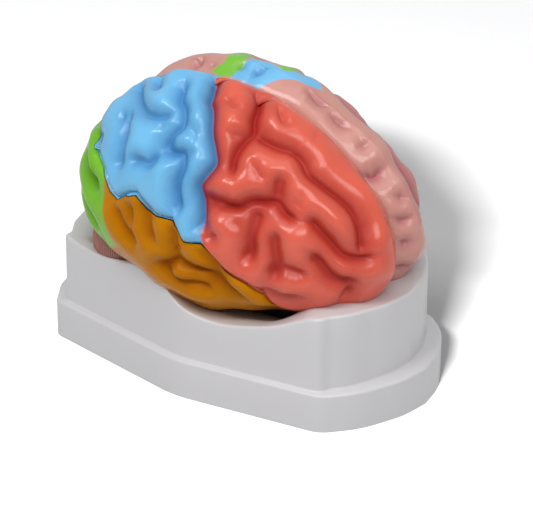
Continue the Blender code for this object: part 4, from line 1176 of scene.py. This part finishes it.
class BRAIN_OT_stage(bpy.types.Operator):
    """Set the pale floor, the soft studio light and the camera"""
    bl_idname = "brain_model.stage"
    bl_label = "Add the stage"

    def execute(self, context):
        scene, sizes = context.scene, context.scene.brain_stage
        half = sizes.floor_size / 2 / MM
        floor = new_piece("floor", [(-half, -half, 0), (half, -half, 0), (half, half, 0), (-half, half, 0)],
                          [(0, 1, 2, 3)], floor_finish())
        light_world(sizes.sky_light)
        for name, place in LAMPS.items():
            area_light(name, *place, getattr(sizes, name + "_light"))
        lamp = area_light("floor_lamp", *FLOOR_LAMP, sizes.floor_light)
        lit = bpy.data.collections.new("lit_by_floor_lamp")
        lit.objects.link(floor)
        lamp.light_linking.receiver_collection = lit
        add_camera()
        scene.view_settings.view_transform = "Standard"
        return {"FINISHED"}


def back_vector(azimuth, elevation):
    a, e = math.radians(azimuth), math.radians(elevation)
    return Vector((math.sin(a) * math.cos(e), -math.cos(a) * math.cos(e), math.sin(e)))


def area_light(name, azimuth, elevation, distance, width, height, power):
    lamp = bpy.data.lights.new(name, "AREA")
    lamp.shape = "RECTANGLE"
    lamp.size, lamp.size_y = width, height
    lamp.energy = power
    obj = bpy.data.objects.new(name, lamp)
    bpy.context.scene.collection.objects.link(obj)
    back = back_vector(azimuth, elevation)
    obj.location = Vector(LAMP_AIM) + back * distance
    obj.rotation_euler = back.to_track_quat("Z", "Y").to_euler()
    return obj


def seen_directly(graph):
    """1 for what the camera, a reflection or a clear material sees, 0 for what only lights the scene."""
    path = graph.add("ShaderNodeLightPath")
    camera, glossy, clear = (path.beside("Is " + kind + " Ray")
                             for kind in ("Camera", "Glossy", "Transmission"))
    return camera + clear + glossy * REFLECTED_WHITE


def floor_finish():
    """A pale floor that shows white to the camera where nothing shades it."""
    material, graph = finish_graph("pale_floor")
    seen = graph.add("ShaderNodeBsdfDiffuse", None, {"Color": FLOOR_SEEN})
    unseen = graph.add("ShaderNodeBsdfDiffuse", None, {"Color": FLOOR_UNSEEN})
    chosen = graph.add("ShaderNodeMixShader", None, {0: seen_directly(graph), 1: unseen, 2: seen})
    graph.add("ShaderNodeOutputMaterial", None, {"Surface": chosen})
    return material


def light_world(strength):
    world = bpy.data.worlds.new("studio")
    bpy.context.scene.world = world
    world.use_nodes = True
    graph = Graph(world.node_tree)
    even = graph.add("ShaderNodeBackground", None, {"Color": (1, 1, 1, 1), "Strength": strength})
    white = graph.add("ShaderNodeBackground", None, {"Color": (1, 1, 1, 1), "Strength": 1.0})
    chosen = graph.add("ShaderNodeMixShader", None, {0: seen_directly(graph), 1: even, 2: white})
    graph.add("ShaderNodeOutputWorld", None, {"Surface": chosen})


def add_camera():
    data = bpy.data.cameras.new("view")
    camera = bpy.data.objects.new("view", data)
    bpy.context.scene.collection.objects.link(camera)
    back = back_vector(VIEW_AZIMUTH, VIEW_ELEVATION)
    camera.location = Vector(VIEW_AIM) + back * VIEW_DISTANCE
    camera.rotation_euler = back.to_track_quat("Z", "Y").to_euler()
    data.sensor_width = 36.0
    data.lens = VIEW_FOCAL / PICTURE[0] * data.sensor_width
    data.shift_x = (PICTURE[0] / 2 - VIEW_AIM_AT[0]) / PICTURE[0]
    data.shift_y = (VIEW_AIM_AT[1] - PICTURE[1] / 2) / PICTURE[0]
    bpy.context.scene.camera = camera


class BRAIN_PT_panel(bpy.types.Panel):
    bl_label = "Brain model"
    bl_idname = "BRAIN_PT_panel"
    bl_space_type = "VIEW_3D"
    bl_region_type = "UI"
    bl_category = "Brain model"

    def draw(self, context):
        for name, group in GROUPS:
            box = self.layout.box()
            settings = getattr(context.scene, name)
            for key in group.__annotations__:
                box.prop(settings, key)
        for operator in OPERATORS:
            self.layout.operator(operator.bl_idname)


GROUPS = [("brain_paint", PaintSettings), ("brain_relief", ReliefSettings), ("brain_stand", StandSettings),
          ("brain_small", SmallPartSettings), ("brain_stage", StageSettings)]
OPERATORS = [BRAIN_OT_stage, BRAIN_OT_stand, BRAIN_OT_halves, BRAIN_OT_cerebellum, BRAIN_OT_stem,
             BRAIN_OT_pins]


def register():
    for name, group in GROUPS:
        bpy.utils.register_class(group)
        setattr(bpy.types.Scene, name, PointerProperty(type=group))
    for kind in OPERATORS + [BRAIN_PT_panel]:
        bpy.utils.register_class(kind)


def unregister():
    for kind in reversed(OPERATORS + [BRAIN_PT_panel]):
        bpy.utils.unregister_class(kind)
    for name, group in reversed(GROUPS):
        delattr(bpy.types.Scene, name)
        bpy.utils.unregister_class(group)


def main():
    register()
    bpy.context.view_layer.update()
    for operator in OPERATORS:
        group, action = operator.bl_idname.split(".")
        getattr(getattr(bpy.ops, group), action)()


if __name__ == "__main__":
    main()
